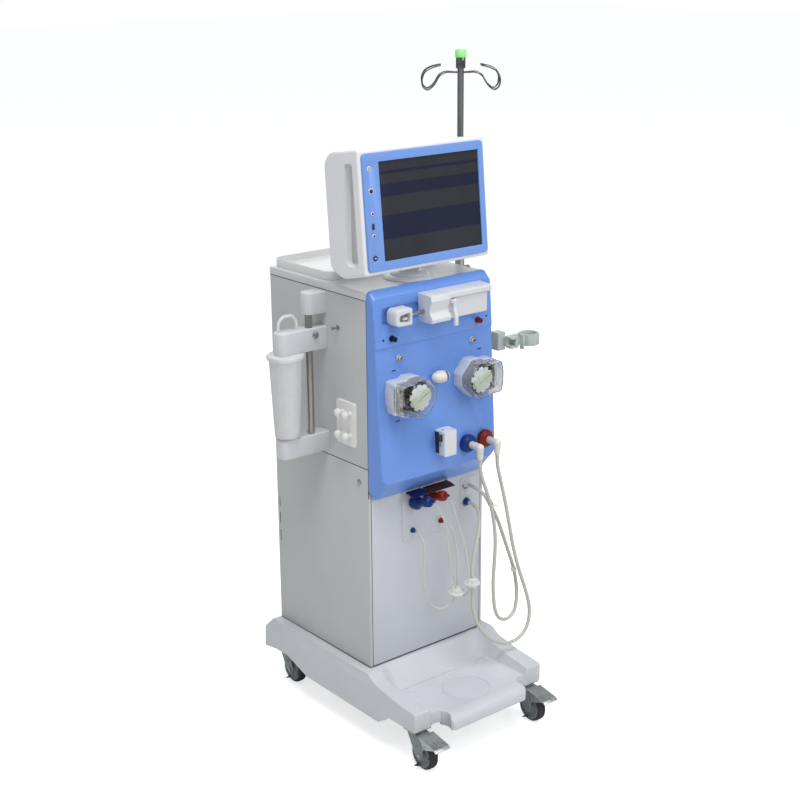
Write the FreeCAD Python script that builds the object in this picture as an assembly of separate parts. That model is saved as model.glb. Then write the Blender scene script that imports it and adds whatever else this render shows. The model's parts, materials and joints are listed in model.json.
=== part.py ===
import FreeCAD, Part
import math
import os
from FreeCAD import Vector

# Haemodialysis machine on casters, in millimetres.
# X runs to the right of a person facing the front, Y to the rear, Z up. The floor is Z = 0.
os.makedirs("parts", exist_ok=True)

# Cabinet
CAB_W = 380.0            # over the side panels
CAB_D = 395.0            # front door face to rear panel face
FRONT = -83.0            # Y of the front door face
FOOT_Z = 195.0           # where the cabinet stands on its base
COVER_Z = 1156.0         # underside of the top cover
COVER_T = 19.0           # top cover thickness
SHEET = 2.0              # panel sheet thickness
SEAM = 1.5               # gap between two panels
SPLIT_Z = 731.0          # seam between upper and lower side panels
POST = 20.0              # corner post section
BACK = FRONT + CAB_D
HALF_W = CAB_W / 2
FOLD = 7.5               # side sheet folded round the front corner
DOOR_HALF = HALF_W - FOLD - SEAM
TOP_Z = COVER_Z + COVER_T

# Fascia, the blue moulding over the upper front
FASCIA_LOW = 650.0
FASCIA_HIGH = 1180.0
FASCIA_RIM = 6.0         # straight rim before the sides slope in
FASCIA_WALL = 4.0
FASCIA_DRAFT = 0.055     # how far the sides come in for each millimetre forward
FASCIA_CHIN = 1.118      # rise of the chin for each millimetre forward
FASCIA_BROW = 0.94       # drop of the top for each millimetre forward
FASCIA_EDGE = 5.0        # rounding of the face's edge
BAND_Z = 1042.0          # step between the syringe band and the pump field
BAND_STEP = 2.5
FACE_TOP_Y = 22.0        # how far the face stands out at the top
FACE_BAND_Y = 31.0       # at the step
FACE_LOW_Y = 52.5        # at the chin
CHIN_Z = 696.0

# Base
BASE_HALF = 215.0
BASE_WALL = 5.0
BASE_REAR = 442.0        # behind the door face
HORN_Y = 203.0           # how far the horns stand in front of the door face
NOSE_Y = 248.0
TRAY_FLOOR = 135.0
WELL_HALF = 160.0

# Casters
WHEEL_R = 40.0
WHEEL_W = 30.0
HUB_R = 27.0
AXLE_R = 5.0
TRAIL = 30.0             # wheel centre in front of its swivel
FORK_T = 3.0
FORK_TOP = 91.0
PLATE_LOW = 98.0         # underside of the mounting plate
RACE_R = 22.0
FRONT_SWIVEL = (BASE_HALF - 29.0, -178.0)
REAR_SWIVEL = (BASE_HALF - 50.0, 401.0)

# Fits
RUN = 0.05               # radial clearance of a turning or sliding pin
GAP = 0.3                # clearance of a piece beside another

# Monitor
MON_PIVOT = (0.0, 70.0, 1243.0)   # tilt axis: X, behind the door face, Z
MON_TILT = 5.4           # lean of the screen, degrees
SCREEN_Y = -14.0
SCREEN_Z = 1366.0
BEZEL = (-202.0, 172.0, -137.0, 137.0)
SCREEN = (-155.0, 155.0, -116.3, 116.3)
SHELL_RIM = 9.0
SHELL_WALL = 3.0
BEZEL_T = 8.0
LIP = 3.0                # rim of the rear shell round the bezel
HANDLE_T = 17.0
HANDLE_GAP = 24.0
BODY_BACK = 78.0
BARREL_R = 13.0
BARREL_HALF = 30.0
NECK_PLATE_R = 64.0

# Pole on the right side
POLE = (218.0, 125.0)
ROD_R = 8.0
SLEEVE_R = 12.0
SLEEVE_LOW = 640.0
SLEEVE_HIGH = 1190.0
ROD_LOW = 760.0
ROD_HIGH = 1665.0
COLLAR_R = 12.0
COLLAR_LOW = ROD_HIGH - 2.0
LAMP_LOW = COLLAR_LOW + 27.0
LAMP_TALL = 21.0
LAMP_R = 14.0
HOOK_REACH = 102.0
HOOK_Z = COLLAR_LOW - 10.0
HOOK_TURNS = (-22.4, -56.4, 123.6, 157.6)
HOOK_WIRE = 2.2

# Dialyser holder
HOLDER_Z = 982.0
HOLDER_BLOCK = (245.0, 6.0)
JAW_AT = (320.0, -30.0)
JAW_R = 21.0             # inside of the jaws
JAW_WALL = 5.0
JAW_H = 30.0

# Cartridge holder on the left side
ARM_Y = (157.0, 198.0)
ARM_OUT = 330.0
GUIDE = (-235.0, 171.0)
GUIDE_R = 9.0
CAP_Z = (1100.0, 1154.0)
UPPER_Z = (1010.0, 1066.0)
LOWER_Z = (745.0, 794.0)
CUP = (-303.0, 176.0)
CUP_TOP = 1009.5
CUP_LOW = 797.0
CUP_TOP_R = 41.0
CUP_LOW_R = 32.0
CUP_FLANGE_R = 46.5
CUP_WALL = 2.0
CUP_FOOT_R = 14.0
PEG_PLATE = (42.0, 119.0, 777.0, 891.0)

# Blood pumps
PUMP_X = 100.0
PUMP_ZS = {-1: 921.0, 1: 927.0}   # left and right rotor axis
PUMP_FRONT = 68.0
PUMP_POCKET = 50.0
ROTOR_R = 34.0
RACE_IN = 40.0
SHAFT_R = 5.0
LID_DEPTH = 35.0
LID_WALL = 3.0
HINGE_PIN = 2.0
HINGE_U = 60.0           # lid hinge outward of the rotor axis

# Syringe pump
SYR = (-50.0, 142.0, 1090.0, 1157.0)
SYR_ROD = (46.0, 1117.0)
SYR_ROD_R = 5.0

# Hoses
HOSE_R = 4.75
TUBE_R = 2.0


def box(x0, x1, y0, y1, z0, z1):
    return Part.makeBox(x1 - x0, y1 - y0, z1 - z0, Vector(x0, y0, z0))


def rod(start, end, radius):
    a = Vector(*start)
    b = Vector(*end)
    return Part.makeCylinder(radius, (b - a).Length, a, b - a)


def spot(plane, u, v, level):
    if plane == "xz":
        return Vector(u, level, v)
    if plane == "yz":
        return Vector(level, u, v)
    return Vector(u, v, level)


def outline(corners, plane, level):
    """Closed wire through (u, v, radius) corners, each rounded with a tangent arc."""
    pieces = []
    count = len(corners)
    for index in range(count):
        before = spot(plane, *corners[index - 1][:2], level)
        here = spot(plane, *corners[index][:2], level)
        after = spot(plane, *corners[(index + 1) % count][:2], level)
        radius = corners[index][2] if len(corners[index]) > 2 else 0.0
        inward = (before - here).normalize()
        onward = (after - here).normalize()
        if radius <= 0:
            pieces.append((here, here, here))
            continue
        half = inward.getAngle(onward) / 2
        reach = radius / math.tan(half)
        middle = (inward + onward).normalize() * (radius / math.sin(half) - radius)
        pieces.append((here + inward * reach, here + middle, here + onward * reach))
    edges = []
    for index in range(count):
        start, middle, end = pieces[index]
        following = pieces[(index + 1) % count][0]
        if (end - start).Length > 1e-6:
            edges.append(Part.Arc(start, middle, end).toShape())
        if (following - end).Length > 1e-6:
            edges.append(Part.LineSegment(end, following).toShape())
    return Part.Wire(edges)


def prism(corners, plane, low, high):
    face = Part.Face(outline(corners, plane, low))
    return face.extrude(spot(plane, 0, 0, high - low))


def loft(first, second, plane, low, high):
    return Part.makeLoft([outline(first, plane, low), outline(second, plane, high)], True, True)


def plate_outline(x0, x1, z0, z1, low_r, high_r):
    return [(x0, z0, low_r), (x1, z0, low_r), (x1, z1, high_r), (x0, z1, high_r)]


def turned(profile, at, toward, angle=360):
    """Solid of revolution from (distance along the axis, radius) points."""
    points = [Vector(r, 0, d) for d, r in profile]
    face = Part.Face(Part.makePolygon(points + [points[0]]))
    solid = face.revolve(Vector(0, 0, 0), Vector(0, 0, 1), angle)
    turn = FreeCAD.Rotation(Vector(0, 0, 1), Vector(*toward))
    solid.Placement = FreeCAD.Placement(Vector(*at), turn)
    return solid


def soften(solid, radius, pick):
    """Round the edges whose middle point passes the test."""
    edges = []
    for edge in solid.Edges:
        middle = edge.valueAt((edge.FirstParameter + edge.LastParameter) / 2)
        if pick(edge, middle):
            edges.append(edge)
    return solid.makeFillet(radius, edges)


def upright(edge):
    a = edge.Vertexes[0].Point
    b = edge.Vertexes[-1].Point
    return abs(a.x - b.x) < 1e-6 and abs(a.y - b.y) < 1e-6 and abs(a.z - b.z) > 1e-3


def mirrored(solid):
    return solid.mirror(Vector(0, 0, 0), Vector(1, 0, 0))


def save(name, solids):
    if not isinstance(solids, list):
        solids = [solids]
    shape = solids[0] if len(solids) == 1 else Part.makeCompound(solids)
    shape.exportStep("parts/" + name + ".step")


def fuse(first, *others):
    return first.fuse(list(others)).removeSplitter()


def face_y(z):
    """Y of the fascia's outer face at height z."""
    if z > BAND_Z:
        share = (z - BAND_Z) / (FASCIA_HIGH - BAND_Z)
        out = FACE_BAND_Y + BAND_STEP + share * (FACE_TOP_Y - FACE_BAND_Y - BAND_STEP)
    else:
        share = (BAND_Z - z) / (BAND_Z - CHIN_Z)
        out = FACE_BAND_Y + share * (FACE_LOW_Y - FACE_BAND_Y)
    return FRONT - out


# Base with its front well, standing on casters

def base_outer(inset, drop):
    """The base moulding as a solid; inset gives its inside, drop reaches below it."""
    side = HALF_SIDE - inset
    low = -drop
    profile = [
        (FRONT - HORN_Y + inset, 104 + low), (FRONT - HORN_Y + inset, 152 - inset, 4 if not inset else 0),
        (FRONT - 119, 161 - inset, 60), (FRONT - 43, 175 - inset, 60), (FRONT - 19, 192 - inset, 20),
        (FRONT + 399, 195 - inset, 12), (FRONT + 438 - inset, 158 - inset, 8),
        (FRONT + BASE_REAR - inset, 98 + low),
    ]
    if inset:
        tail = []
    else:
        tail = [(FRONT + 388, 106, 10), (FRONT + 335, 106, 10), (FRONT + 248, 77, 20), (FRONT - 58, 73, 8),
                (FRONT - 82, 88, 8), (FRONT - 98, 102, 8)]
    body = prism(profile + tail, "yz", -side, side)
    nose_half = NOSE_HALF - inset
    nose_front = FRONT - NOSE_Y + inset
    nose = prism([(-nose_half, FRONT - HORN_Y + 30), (-nose_half, nose_front, 14 - inset),
                  (nose_half, nose_front, 14 - inset), (nose_half, FRONT - HORN_Y + 30)],
                 "xy", 97 + low, TRAY_FLOOR + 8 - inset)
    body = body.fuse(nose)
    grow = inset
    floor = [(-WELL_HALF - grow, FRONT - 400), (WELL_HALF + grow, FRONT - 400),
             (WELL_HALF + grow, FRONT - 42 + grow, 30), (-WELL_HALF - grow, FRONT - 42 + grow, 30)]
    brim = [(-WELL_HALF - 30 - grow, FRONT - 400), (WELL_HALF + 30 + grow, FRONT - 400),
            (WELL_HALF + 30 + grow, FRONT - 6 + grow, 40), (-WELL_HALF - 30 - grow, FRONT - 6 + grow, 40)]
    body = body.cut(loft(floor, brim, "xy", TRAY_FLOOR - inset, 205.0 - inset))
    lip = prism([(nose_front - 40, TRAY_FLOOR - inset + 20), (nose_front - 40, 60),
                 (nose_front, 60), (nose_front, TRAY_FLOOR - inset, 30 - inset),
                 (FRONT - HORN_Y + 30, TRAY_FLOOR - inset), (FRONT - HORN_Y + 30, TRAY_FLOOR - inset + 20)],
                "yz", -nose_half - 1, nose_half + 1)
    body = body.cut(lip)
    for side_sign in (-1, 1):
        scoop = Part.makeCylinder(26 + inset, 260, Vector(side_sign * (NOSE_HALF + 19), FRONT - 222, 0))
        body = body.cut(scoop)
    return body.removeSplitter()


HALF_SIDE = BASE_HALF
NOSE_HALF = 128.0


def base_moulding():
    """Hollow base with a step, two ribs and a shallow ring in the floor of its well."""
    shell = base_outer(0.0, 0.0).cut(base_outer(BASE_WALL, 60.0))
    half = WELL_HALF - 14
    for near, far, tall in ((-60, -38, 4.0), (-82, -76, 1.6)):
        rib = box(-half, half, FRONT + near, FRONT + far, TRAY_FLOOR - 1, TRAY_FLOOR + tall)
        rib = soften(rib, 1.2, lambda e, m: m.z > TRAY_FLOOR + tall - 0.01 and m.y < FRONT + near + 0.01)
        shell = shell.fuse(rib)
    middle = Vector(0, FRONT - 150, TRAY_FLOOR)
    ring = Part.makeTorus(62, 1.6, middle)
    return shell.cut(ring).removeSplitter()


def caster_places():
    places = []
    for x, y in (FRONT_SWIVEL, REAR_SWIVEL):
        places.append((-x, y))
        places.append((x, y))
    return places


def base_frame():
    """Steel frame inside the base: two rails, three cross members and the caster plates."""
    low = PLATE_LOW + 4
    rails = []
    for sign in (-1, 1):
        x = sign * (BASE_HALF - 43)
        rails.append(box(x - 20, x + 20, FRONT - 190, FRONT + 425, low, low + 16))
    for y in (-150, 60, 390):
        rails.append(box(-BASE_HALF + 23, BASE_HALF - 23, FRONT + y, FRONT + y + 30, low, low + 16))
    frame = fuse(*rails)
    posts = []
    for sign in (-1, 1):
        for y in (4, 362):
            x = sign * (BASE_HALF - 37)
            posts.append(box(x - 8, x + 8, FRONT + y, FRONT + y + 28, low + 16, FOOT_Z - BASE_WALL))
    frame = fuse(frame, *posts)
    for x, y in caster_places():
        plate = box(x - 27, x + 27, FRONT + y - 22, FRONT + y + 22, PLATE_LOW, low)
        race = Part.makeCylinder(RACE_R, PLATE_LOW - FORK_TOP - GAP, Vector(x, FRONT + y, FORK_TOP + GAP))
        frame = fuse(frame, plate, race)
    for x, y in caster_places():
        frame = frame.cut(Part.makeCylinder(6 + RUN, 16, Vector(x, FRONT + y, FORK_TOP - 1)))
    return frame.cut(base_moulding())


def caster_fork(x, y, pedal):
    """Fork with its crown, legs, axle and kingpin; the wheel stands in front of the kingpin."""
    inside = WHEEL_W / 2 + 1.5
    outside = inside + FORK_T
    wheel_y = FRONT + y - TRAIL
    crown = Part.makeCylinder(RACE_R, 6, Vector(x, FRONT + y, FORK_TOP - 6))
    crown = fuse(crown, box(x - outside, x + outside, wheel_y - 2, FRONT + y, FORK_TOP - 5, FORK_TOP))
    leg = [(wheel_y - 2, FORK_TOP, 0), (wheel_y - 15, WHEEL_R, 14), (wheel_y, WHEEL_R - 15, 12),
           (wheel_y + 16, WHEEL_R - 4, 12), (FRONT + y + 16, FORK_TOP, 0)]
    for sign in (-1, 1):
        inner = x + sign * inside
        outer = x + sign * outside
        crown = fuse(crown, prism(leg, "yz", min(inner, outer), max(inner, outer)))
    axle = rod((x - outside - 3, wheel_y, WHEEL_R), (x + outside + 3, wheel_y, WHEEL_R), AXLE_R)
    pin = Part.makeCylinder(6, 13, Vector(x, FRONT + y, FORK_TOP - 1))
    fork = fuse(crown, axle, pin)
    if pedal:
        axis_y = wheel_y - PEDAL_OUT
        for sign in (-1, 1):
            inner = x + sign * inside
            outer = x + sign * outside
            lug = prism([(axis_y - 4, PEDAL_Z - 4, 3), (wheel_y - 10, PEDAL_Z - 20), (wheel_y - 8, PEDAL_Z + 5),
                         (axis_y - 4, PEDAL_Z + 4, 3)], "yz", min(inner, outer), max(inner, outer))
            fork = fuse(fork, lug)
        reach = outside + 5
        fork = fuse(fork, rod((x - reach, axis_y, PEDAL_Z), (x + reach, axis_y, PEDAL_Z), PEDAL_PIN))
    return fork


def caster_wheel(x, y):
    at = (x - WHEEL_W / 2, FRONT + y - TRAIL, WHEEL_R)
    bore = AXLE_R + RUN
    hub = turned([(0, bore), (0, 14), (4, 16), (4, HUB_R - 3), (1, HUB_R), (WHEEL_W - 1, HUB_R),
                  (WHEEL_W - 4, HUB_R - 3), (WHEEL_W - 4, 16), (WHEEL_W, 14), (WHEEL_W, bore)], at, (1, 0, 0))
    tyre = turned([(1, HUB_R), (1, WHEEL_R - 7), (6, WHEEL_R - 1.2), (11, WHEEL_R), (12, WHEEL_R - 1.5),
                   (14, WHEEL_R - 1.5), (15, WHEEL_R), (16, WHEEL_R - 1.5), (18, WHEEL_R - 1.5),
                   (19, WHEEL_R), (24, WHEEL_R - 1.2), (WHEEL_W - 1, WHEEL_R - 7),
                   (WHEEL_W - 1, HUB_R)], at, (1, 0, 0))
    return [hub, tyre]


PEDAL_Z = 76.0
PEDAL_OUT = 24.0         # pedal axis in front of the axle
PEDAL_EAR = 6.0
PEDAL_PIN = 2.5


def brake_pedal(x, y):
    """Folded sheet pedal over the wheel: a sloping tread with two cheeks outside the fork."""
    swivel_y = FRONT + y
    axis_y = swivel_y - TRAIL - PEDAL_OUT
    outside = WHEEL_W / 2 + 1.5 + FORK_T
    half = outside + 4
    tread = prism([(swivel_y - 33, PEDAL_Z + 18.6), (swivel_y - 33, PEDAL_Z + 15.2), (swivel_y - 90, PEDAL_Z + 3.6, 8),
                   (swivel_y - 96, PEDAL_Z - 1), (swivel_y - 98, PEDAL_Z + 2), (swivel_y - 91, PEDAL_Z + 7.4, 8)],
                  "yz", x - half, x + half)
    for step in range(5):
        offset = swivel_y - 89 + step * 5
        level = PEDAL_Z + 6.4 + step * 0.97
        tread = tread.cut(box(x - half + 4, x + half - 4, offset - 1, offset + 1, level, PEDAL_Z + 20))
    for sign in (-1, 1):
        inner = x + sign * (outside + 0.5)
        outer = x + sign * half
        cheek = prism([(axis_y - 6, PEDAL_Z - 6, 5.8), (axis_y + 6, PEDAL_Z - 6, 5.8), (axis_y + 19, PEDAL_Z + 16),
                       (axis_y - 36, PEDAL_Z + 5.4)], "yz", min(inner, outer), max(inner, outer))
        tread = fuse(tread, cheek)
    return tread.cut(rod((x - 40, axis_y, PEDAL_Z), (x + 40, axis_y, PEDAL_Z), PEDAL_PIN + RUN))


# Cabinet

def chassis_frame():
    pieces = []
    high = COVER_Z
    for sign in (-1, 1):
        x = sign * (HALF_W - SHEET - POST / 2)
        for y in (FRONT + SHEET, BACK - SHEET - POST):
            pieces.append(box(x - POST / 2, x + POST / 2, y, y + POST, FOOT_Z, high))
        for z in (FOOT_Z, SPLIT_Z - POST / 2, high - POST):
            pieces.append(box(x - POST / 2, x + POST / 2, FRONT + SHEET, BACK - SHEET, z, z + POST))
    span = HALF_W - SHEET
    for z in (FOOT_Z, high - POST):
        pieces.append(box(-span, span, FRONT + SHEET, FRONT + SHEET + POST, z, z + POST))
        pieces.append(box(-span, span, BACK - SHEET - POST, BACK - SHEET, z, z + POST))
    shelf = box(-span, span, FRONT + SHEET, BACK - SHEET, 560, 563)
    bulkhead = box(-DOOR_HALF, DOOR_HALF, FRONT, FRONT + SHEET, FASCIA_LOW + 2, high - 2)
    frame = fuse(*pieces, shelf, bulkhead)
    for sign in (-1, 1):
        level = PUMP_ZS[sign]
        frame = frame.cut(rod((sign * PUMP_X, FRONT - 1, level), (sign * PUMP_X, FRONT + 5, level), SHAFT_R + 2))
    return frame



def side_panels():
    """Two sheets each side, folded round the front corner."""
    panels = []
    for low, high in ((FOOT_Z + 0.5, SPLIT_Z - SEAM / 2), (SPLIT_Z + SEAM / 2, COVER_Z - 1)):
        left = fuse(box(-HALF_W, -HALF_W + SHEET, FRONT, BACK, low, high),
                    box(-HALF_W, -DOOR_HALF - SEAM, FRONT, FRONT + SHEET, low, high))
        panels.append(left)
        panels.append(mirrored(left))
    return panels


def rear_panel():
    half = HALF_W - SHEET
    panel = box(-half, half, BACK - SHEET, BACK, FOOT_Z + 1, COVER_Z - 1)
    for z0, rows in ((960, 8), (330, 6)):
        for row in range(rows):
            for x in (-95, 35):
                z = z0 + row * 16
                slot = prism([(x, z, 2.4), (x + 60, z, 2.4), (x + 60, z + 5, 2.4), (x, z + 5, 2.4)],
                             "xz", BACK - SHEET - 1, BACK + 1)
                panel = panel.cut(slot)
    return panel


def rear_fittings():
    """Mains inlet, water inlet and drain stubs on the rear panel."""
    inlet = box(-130, -70, BACK, BACK + 8, 250, 285)
    inlet = soften(inlet, 3, lambda e, m: m.y > BACK + 7)
    inlet = inlet.cut(box(-122, -98, BACK + 2, BACK + 9, 259, 276))
    fittings = [inlet]
    for x in (60, 110):
        fittings.append(turned([(0, 0), (0, 14), (4, 14), (4, 8), (14, 8), (16, 9.5), (20, 7), (22, 9.5),
                                (26, 7), (26, 0)], (x, BACK, 268), (0, 1, 0)))
    return fittings


def lower_front_panels():
    """Door sheet, the connector plate with its slot, and the tube port plate."""
    low = FOOT_Z + 1
    door = box(-DOOR_HALF, DOOR_HALF, FRONT, FRONT + SHEET, low, FASCIA_LOW + 1)
    connector = prism(plate_outline(-84, 74, 510, 649.7, 10, 2), "xz", FRONT - 1.5, FRONT)
    niche = prism(plate_outline(112, 172, 547, 636, 6, 6), "xz", FRONT - 1.5, FRONT)
    return [door, fuse(connector, *flap_ears()), niche]


def top_cover():
    cover = box(-HALF_W, HALF_W, FRONT, BACK + 5, COVER_Z, TOP_Z)
    cover = soften(cover, 6, lambda e, m: upright(e) and m.y > BACK)
    return soften(cover, 3, lambda e, m: m.z > TOP_Z - 0.01)


def top_tray():
    outer = [(-179, FRONT + 157, 26), (179, FRONT + 157, 26), (179, FRONT + 398, 26), (-179, FRONT + 398, 26)]
    inner = [(-176, FRONT + 160, 23), (176, FRONT + 160, 23), (176, FRONT + 395, 23), (-176, FRONT + 395, 23)]
    tray = prism(outer, "xy", TOP_Z, TOP_Z + 22)
    tray = tray.cut(prism(inner, "xy", TOP_Z + 3, TOP_Z + 30))
    return tray


# Fascia

def fascia_solid(inset):
    depth = 70.0
    near = FRONT - FASCIA_RIM
    far = near - depth
    side = HALF_W - inset
    low = FASCIA_LOW + inset
    high = FASCIA_HIGH - inset
    tip = side - depth * FASCIA_DRAFT
    first = plate_outline(-side, side, low, high, 30 - inset, 16 - inset)
    last = plate_outline(-tip, tip, low + depth * FASCIA_CHIN, high - depth * FASCIA_BROW,
                         26 - inset, 12 - inset)
    start = FRONT + (1 if inset else 0)
    solid = fuse(prism(first, "xz", near, start), loft(first, last, "xz", near, far))
    front = [(face_y(FASCIA_HIGH) + inset, FASCIA_HIGH), (face_y(BAND_Z + 0.01) + inset, BAND_Z),
             (face_y(BAND_Z) + inset, BAND_Z - 1), (face_y(CHIN_Z - 60) + inset, CHIN_Z - 60),
             (FRONT - 130, CHIN_Z - 60),
             (FRONT - 130, FASCIA_HIGH + 20), (face_y(FASCIA_HIGH) + inset, FASCIA_HIGH + 20)]
    return solid.cut(prism(front, "yz", -300, 300))


def face_edge(edge, middle):
    """Whether an edge borders the face of the fascia."""
    if abs(middle.y - face_y(middle.z)) > 0.6:
        return False
    return abs(middle.z - BAND_Z) > 2 or abs(middle.x) > HALF_W - 8


def front_fascia():
    plain = fascia_solid(0.0)
    outer = soften(plain, FASCIA_EDGE, lambda e, m: face_edge(e, m) and m.z < BAND_Z)
    outer = soften(outer, FASCIA_EDGE, lambda e, m: face_edge(e, m) and m.z > BAND_Z + 5)
    shell = outer.cut(fascia_solid(FASCIA_WALL))
    track = prism(plate_outline(-165, -45, 1097, 1138, 10, 10), "xz", FRONT - 60, FRONT - 20)
    pocket = prism(plate_outline(-168, -42, 1094, 1141, 12, 12), "xz", FRONT - 60, FRONT - 16)
    shell = shell.fuse(outer.common(pocket)).cut(track)
    for sign in (-1, 1):
        shell = shell.cut(prism(pump_outline(sign, -4.7), "xz", FRONT - 90, FRONT - 8))
    return shell.removeSplitter()


def behind(solid):
    """What is left of a solid in front of the fascia, just clear of it."""
    return solid.cut(fascia_solid(0.0))


# Blood pumps

def pump_outline(sign, grow):
    """Housing outline round the rotor: an octagon with a bulged outer side."""
    points = [(60, -41), (26, -41), (13, -48), (-15, -48), (-46, -15), (-46, 15), (-15, 48), (13, 48), (26, 41),
              (60, 41), (66, 14), (66, -14)]
    radii = [8, 12, 6, 14, 10, 10, 14, 6, 12, 8, 24, 24]
    corners = []
    for (u, z), r in zip(points, radii):
        corners.append((sign * (PUMP_X + u * (1 + grow / 55)), PUMP_ZS[sign] + z * (1 + grow / 48), r))
    return corners


def pump_housing(sign):
    back = FRONT - 2
    front = FRONT - PUMP_FRONT
    level = PUMP_ZS[sign]
    full = prism(pump_outline(sign, 0), "xz", front, back)
    full = soften(full, 1.5, lambda e, m: abs(m.y - front) < 0.01)
    body = behind(full)
    plug = prism(pump_outline(sign, -5), "xz", FRONT - 56, FRONT)
    body = fuse(body, plug)
    pocket = prism(pump_outline(sign, -6), "xz", front - 1, FRONT - PUMP_POCKET)
    body = body.cut(pocket)
    at = sign * PUMP_X
    body = body.cut(rod((at, FRONT - 90, level), (at, FRONT + 2, level), SHAFT_R + RUN))
    hinge_x = sign * (PUMP_X + HINGE_U)
    for z in (-37.5, 29.5):
        ear = box(hinge_x - 4, hinge_x + 4, front - 7.4, front + 6, level + z, level + z + 8)
        body = fuse(body, ear)
    pin = rod((hinge_x, front - 4, level - 37.5), (hinge_x, front - 4, level + 37.5), HINGE_PIN)
    return fuse(body, pin)


def pump_bed(sign):
    """Metal raceway: a C round the rotor with the tube's way in and out on the outer side."""
    level = PUMP_ZS[sign]
    front = FRONT - PUMP_FRONT - 13
    bed = prism(pump_outline(sign, -6.4), "xz", front, FRONT - PUMP_POCKET)
    at = sign * PUMP_X
    bed = bed.cut(rod((at, front - 5, level), (at, FRONT - 45, level), RACE_IN - 2))
    for z in (-28, 16):
        channel = box(min(at, at + sign * 80), max(at, at + sign * 80), front - 5, front + 17,
                      level + z, level + z + 12)
        bed = bed.cut(channel)
    relief = box(min(at + sign * 53, at + sign * 80), max(at + sign * 53, at + sign * 80), front - 5, front + 18,
                 level - 29.5, level + 29.5)
    return bed.cut(relief)


def pump_rotor(sign):
    """Notched rotor disc on its shaft, with two rollers, guide pins and the folding crank."""
    at = sign * PUMP_X
    level = PUMP_ZS[sign]
    front = FRONT - PUMP_FRONT - 24
    shaft = rod((at, FRONT - 60, level), (at, FRONT + 30, level), SHAFT_R)
    disc = rod((at, front, level), (at, front + 8, level), ROTOR_R)
    lean = math.radians(27)
    for step in range(10):
        turn = lean + math.radians(18 + 36 * step)
        cx = at + ROTOR_R * math.cos(turn)
        cz = level + ROTOR_R * math.sin(turn)
        disc = disc.cut(rod((cx, front - 1, cz), (cx, front + 9, cz), 4))
    hub = rod((at, front, level), (at, FRONT - 54, level), 14)
    rotor = fuse(shaft, disc, hub)
    for turn in (lean + math.pi / 2, lean - math.pi / 2):
        x = at + 25 * math.cos(turn)
        z = level + 25 * math.sin(turn)
        rotor = fuse(rotor, rod((x, front + 5, z), (x, FRONT - 56, z), 9))
    for turn in (lean + 0.6, lean - 0.6, lean + math.pi + 0.6, lean + math.pi - 0.6):
        x = at + 26 * math.cos(turn)
        z = level + 26 * math.sin(turn)
        rotor = fuse(rotor, rod((x, front + 5, z), (x, FRONT - 58, z), 3))
    bar = prism([(at - 30, level - 15, 12), (at + 30, level - 15, 12), (at + 30, level + 15, 12),
                 (at - 30, level + 15, 12)], "xz", front - 7, front)
    bar = soften(bar, 2, lambda e, m: m.y < front - 6.9)
    bar = bar.cut(box(at - 19, at + 27, front - 8, front - 4, level - 1.3, level + 1.3))
    bar.rotate(Vector(at, 0, level), Vector(0, -1, 0), 27)
    return fuse(rotor, bar)


def pump_lid(sign):
    """Deep clear lid over the rotor, on a barrel hinge at the outer side."""
    near = FRONT - PUMP_FRONT - GAP
    far = near - LID_DEPTH
    level = PUMP_ZS[sign]
    lid = prism(pump_outline(sign, -1), "xz", far, near)
    lid = soften(lid, 3, lambda e, m: abs(m.y - far) < 0.01)
    lid = lid.cut(prism(pump_outline(sign, -1 - LID_WALL), "xz", far + LID_WALL, near + 1))
    hinge_x = sign * (PUMP_X + HINGE_U)
    hinge_y = FRONT - PUMP_FRONT - 4
    inside = hinge_x - sign * 5.5
    outside = hinge_x + sign * 12
    clear = box(min(inside, outside), max(inside, outside), hinge_y - 8.5, near + 1, level - 50, level + 50)
    lid = lid.cut(clear)
    barrel = rod((hinge_x, hinge_y, level - 29), (hinge_x, hinge_y, level + 29), 3.7)
    side = [(hinge_x - sign * 3, hinge_y - 1), (hinge_x + sign * 2.6, hinge_y - 1),
            (hinge_x + sign * 2.6, hinge_y - 7.5), (hinge_x + sign * 4.4, hinge_y - 9),
            (hinge_x + sign * 4.4, hinge_y - 12), (hinge_x - sign * 3, hinge_y - 12)]
    web = prism(side, "xy", level - 29, level + 29)
    lid = fuse(lid, barrel, web)
    return lid.cut(rod((hinge_x, hinge_y, level - 50), (hinge_x, hinge_y, level + 50), HINGE_PIN + RUN))


# Syringe pump

def syringe_pump_body():
    x0, x1, z0, z1 = SYR
    back = FRONT - 10
    long_part = prism([(back, z0), (FRONT - 62, z0, 3), (FRONT - 62, 1142, 4), (back, 1146)], "yz", x0, x1)
    ledge = prism([(back, 1142), (FRONT - 69, 1142, 3), (FRONT - 69, z1, 5), (back, z1 + 3)], "yz", x0, x1 + 9)
    cradle = prism([(back, z0), (FRONT - 77, z0, 5), (FRONT - 79, 1101, 5), (FRONT - 66, 1117, 14),
                    (FRONT - 76, 1144, 5), (FRONT - 72, z1, 3), (back, z1 + 3)], "yz", x0, 10)
    saddle = prism([(FRONT - 100, 1099), (FRONT - 52, 1110, 6), (FRONT - 52, 1130, 6), (FRONT - 100, 1139)],
                   "yz", 10, 42)
    body = fuse(long_part.cut(saddle), ledge, cradle)
    body = behind(body)
    y, z = SYR_ROD
    body = body.cut(rod((x0 - 1, FRONT - y, z), (x0 + 80, FRONT - y, z), SYR_ROD_R + RUN))
    for x in (CLAMP_X - 7, CLAMP_X + 9):
        lug = box(x - 2, x + 2, CLAMP_Y - 4, FRONT - 60, CLAMP_Z - 4, CLAMP_Z + 4)
        body = fuse(body, lug)
    pin = rod((CLAMP_X - 9, CLAMP_Y, CLAMP_Z), (CLAMP_X + 11, CLAMP_Y, CLAMP_Z), 2)
    return fuse(body, pin)


CLAMP_X = 22.0
CLAMP_Y = FRONT - 73.0
CLAMP_Z = 1136.0


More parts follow.
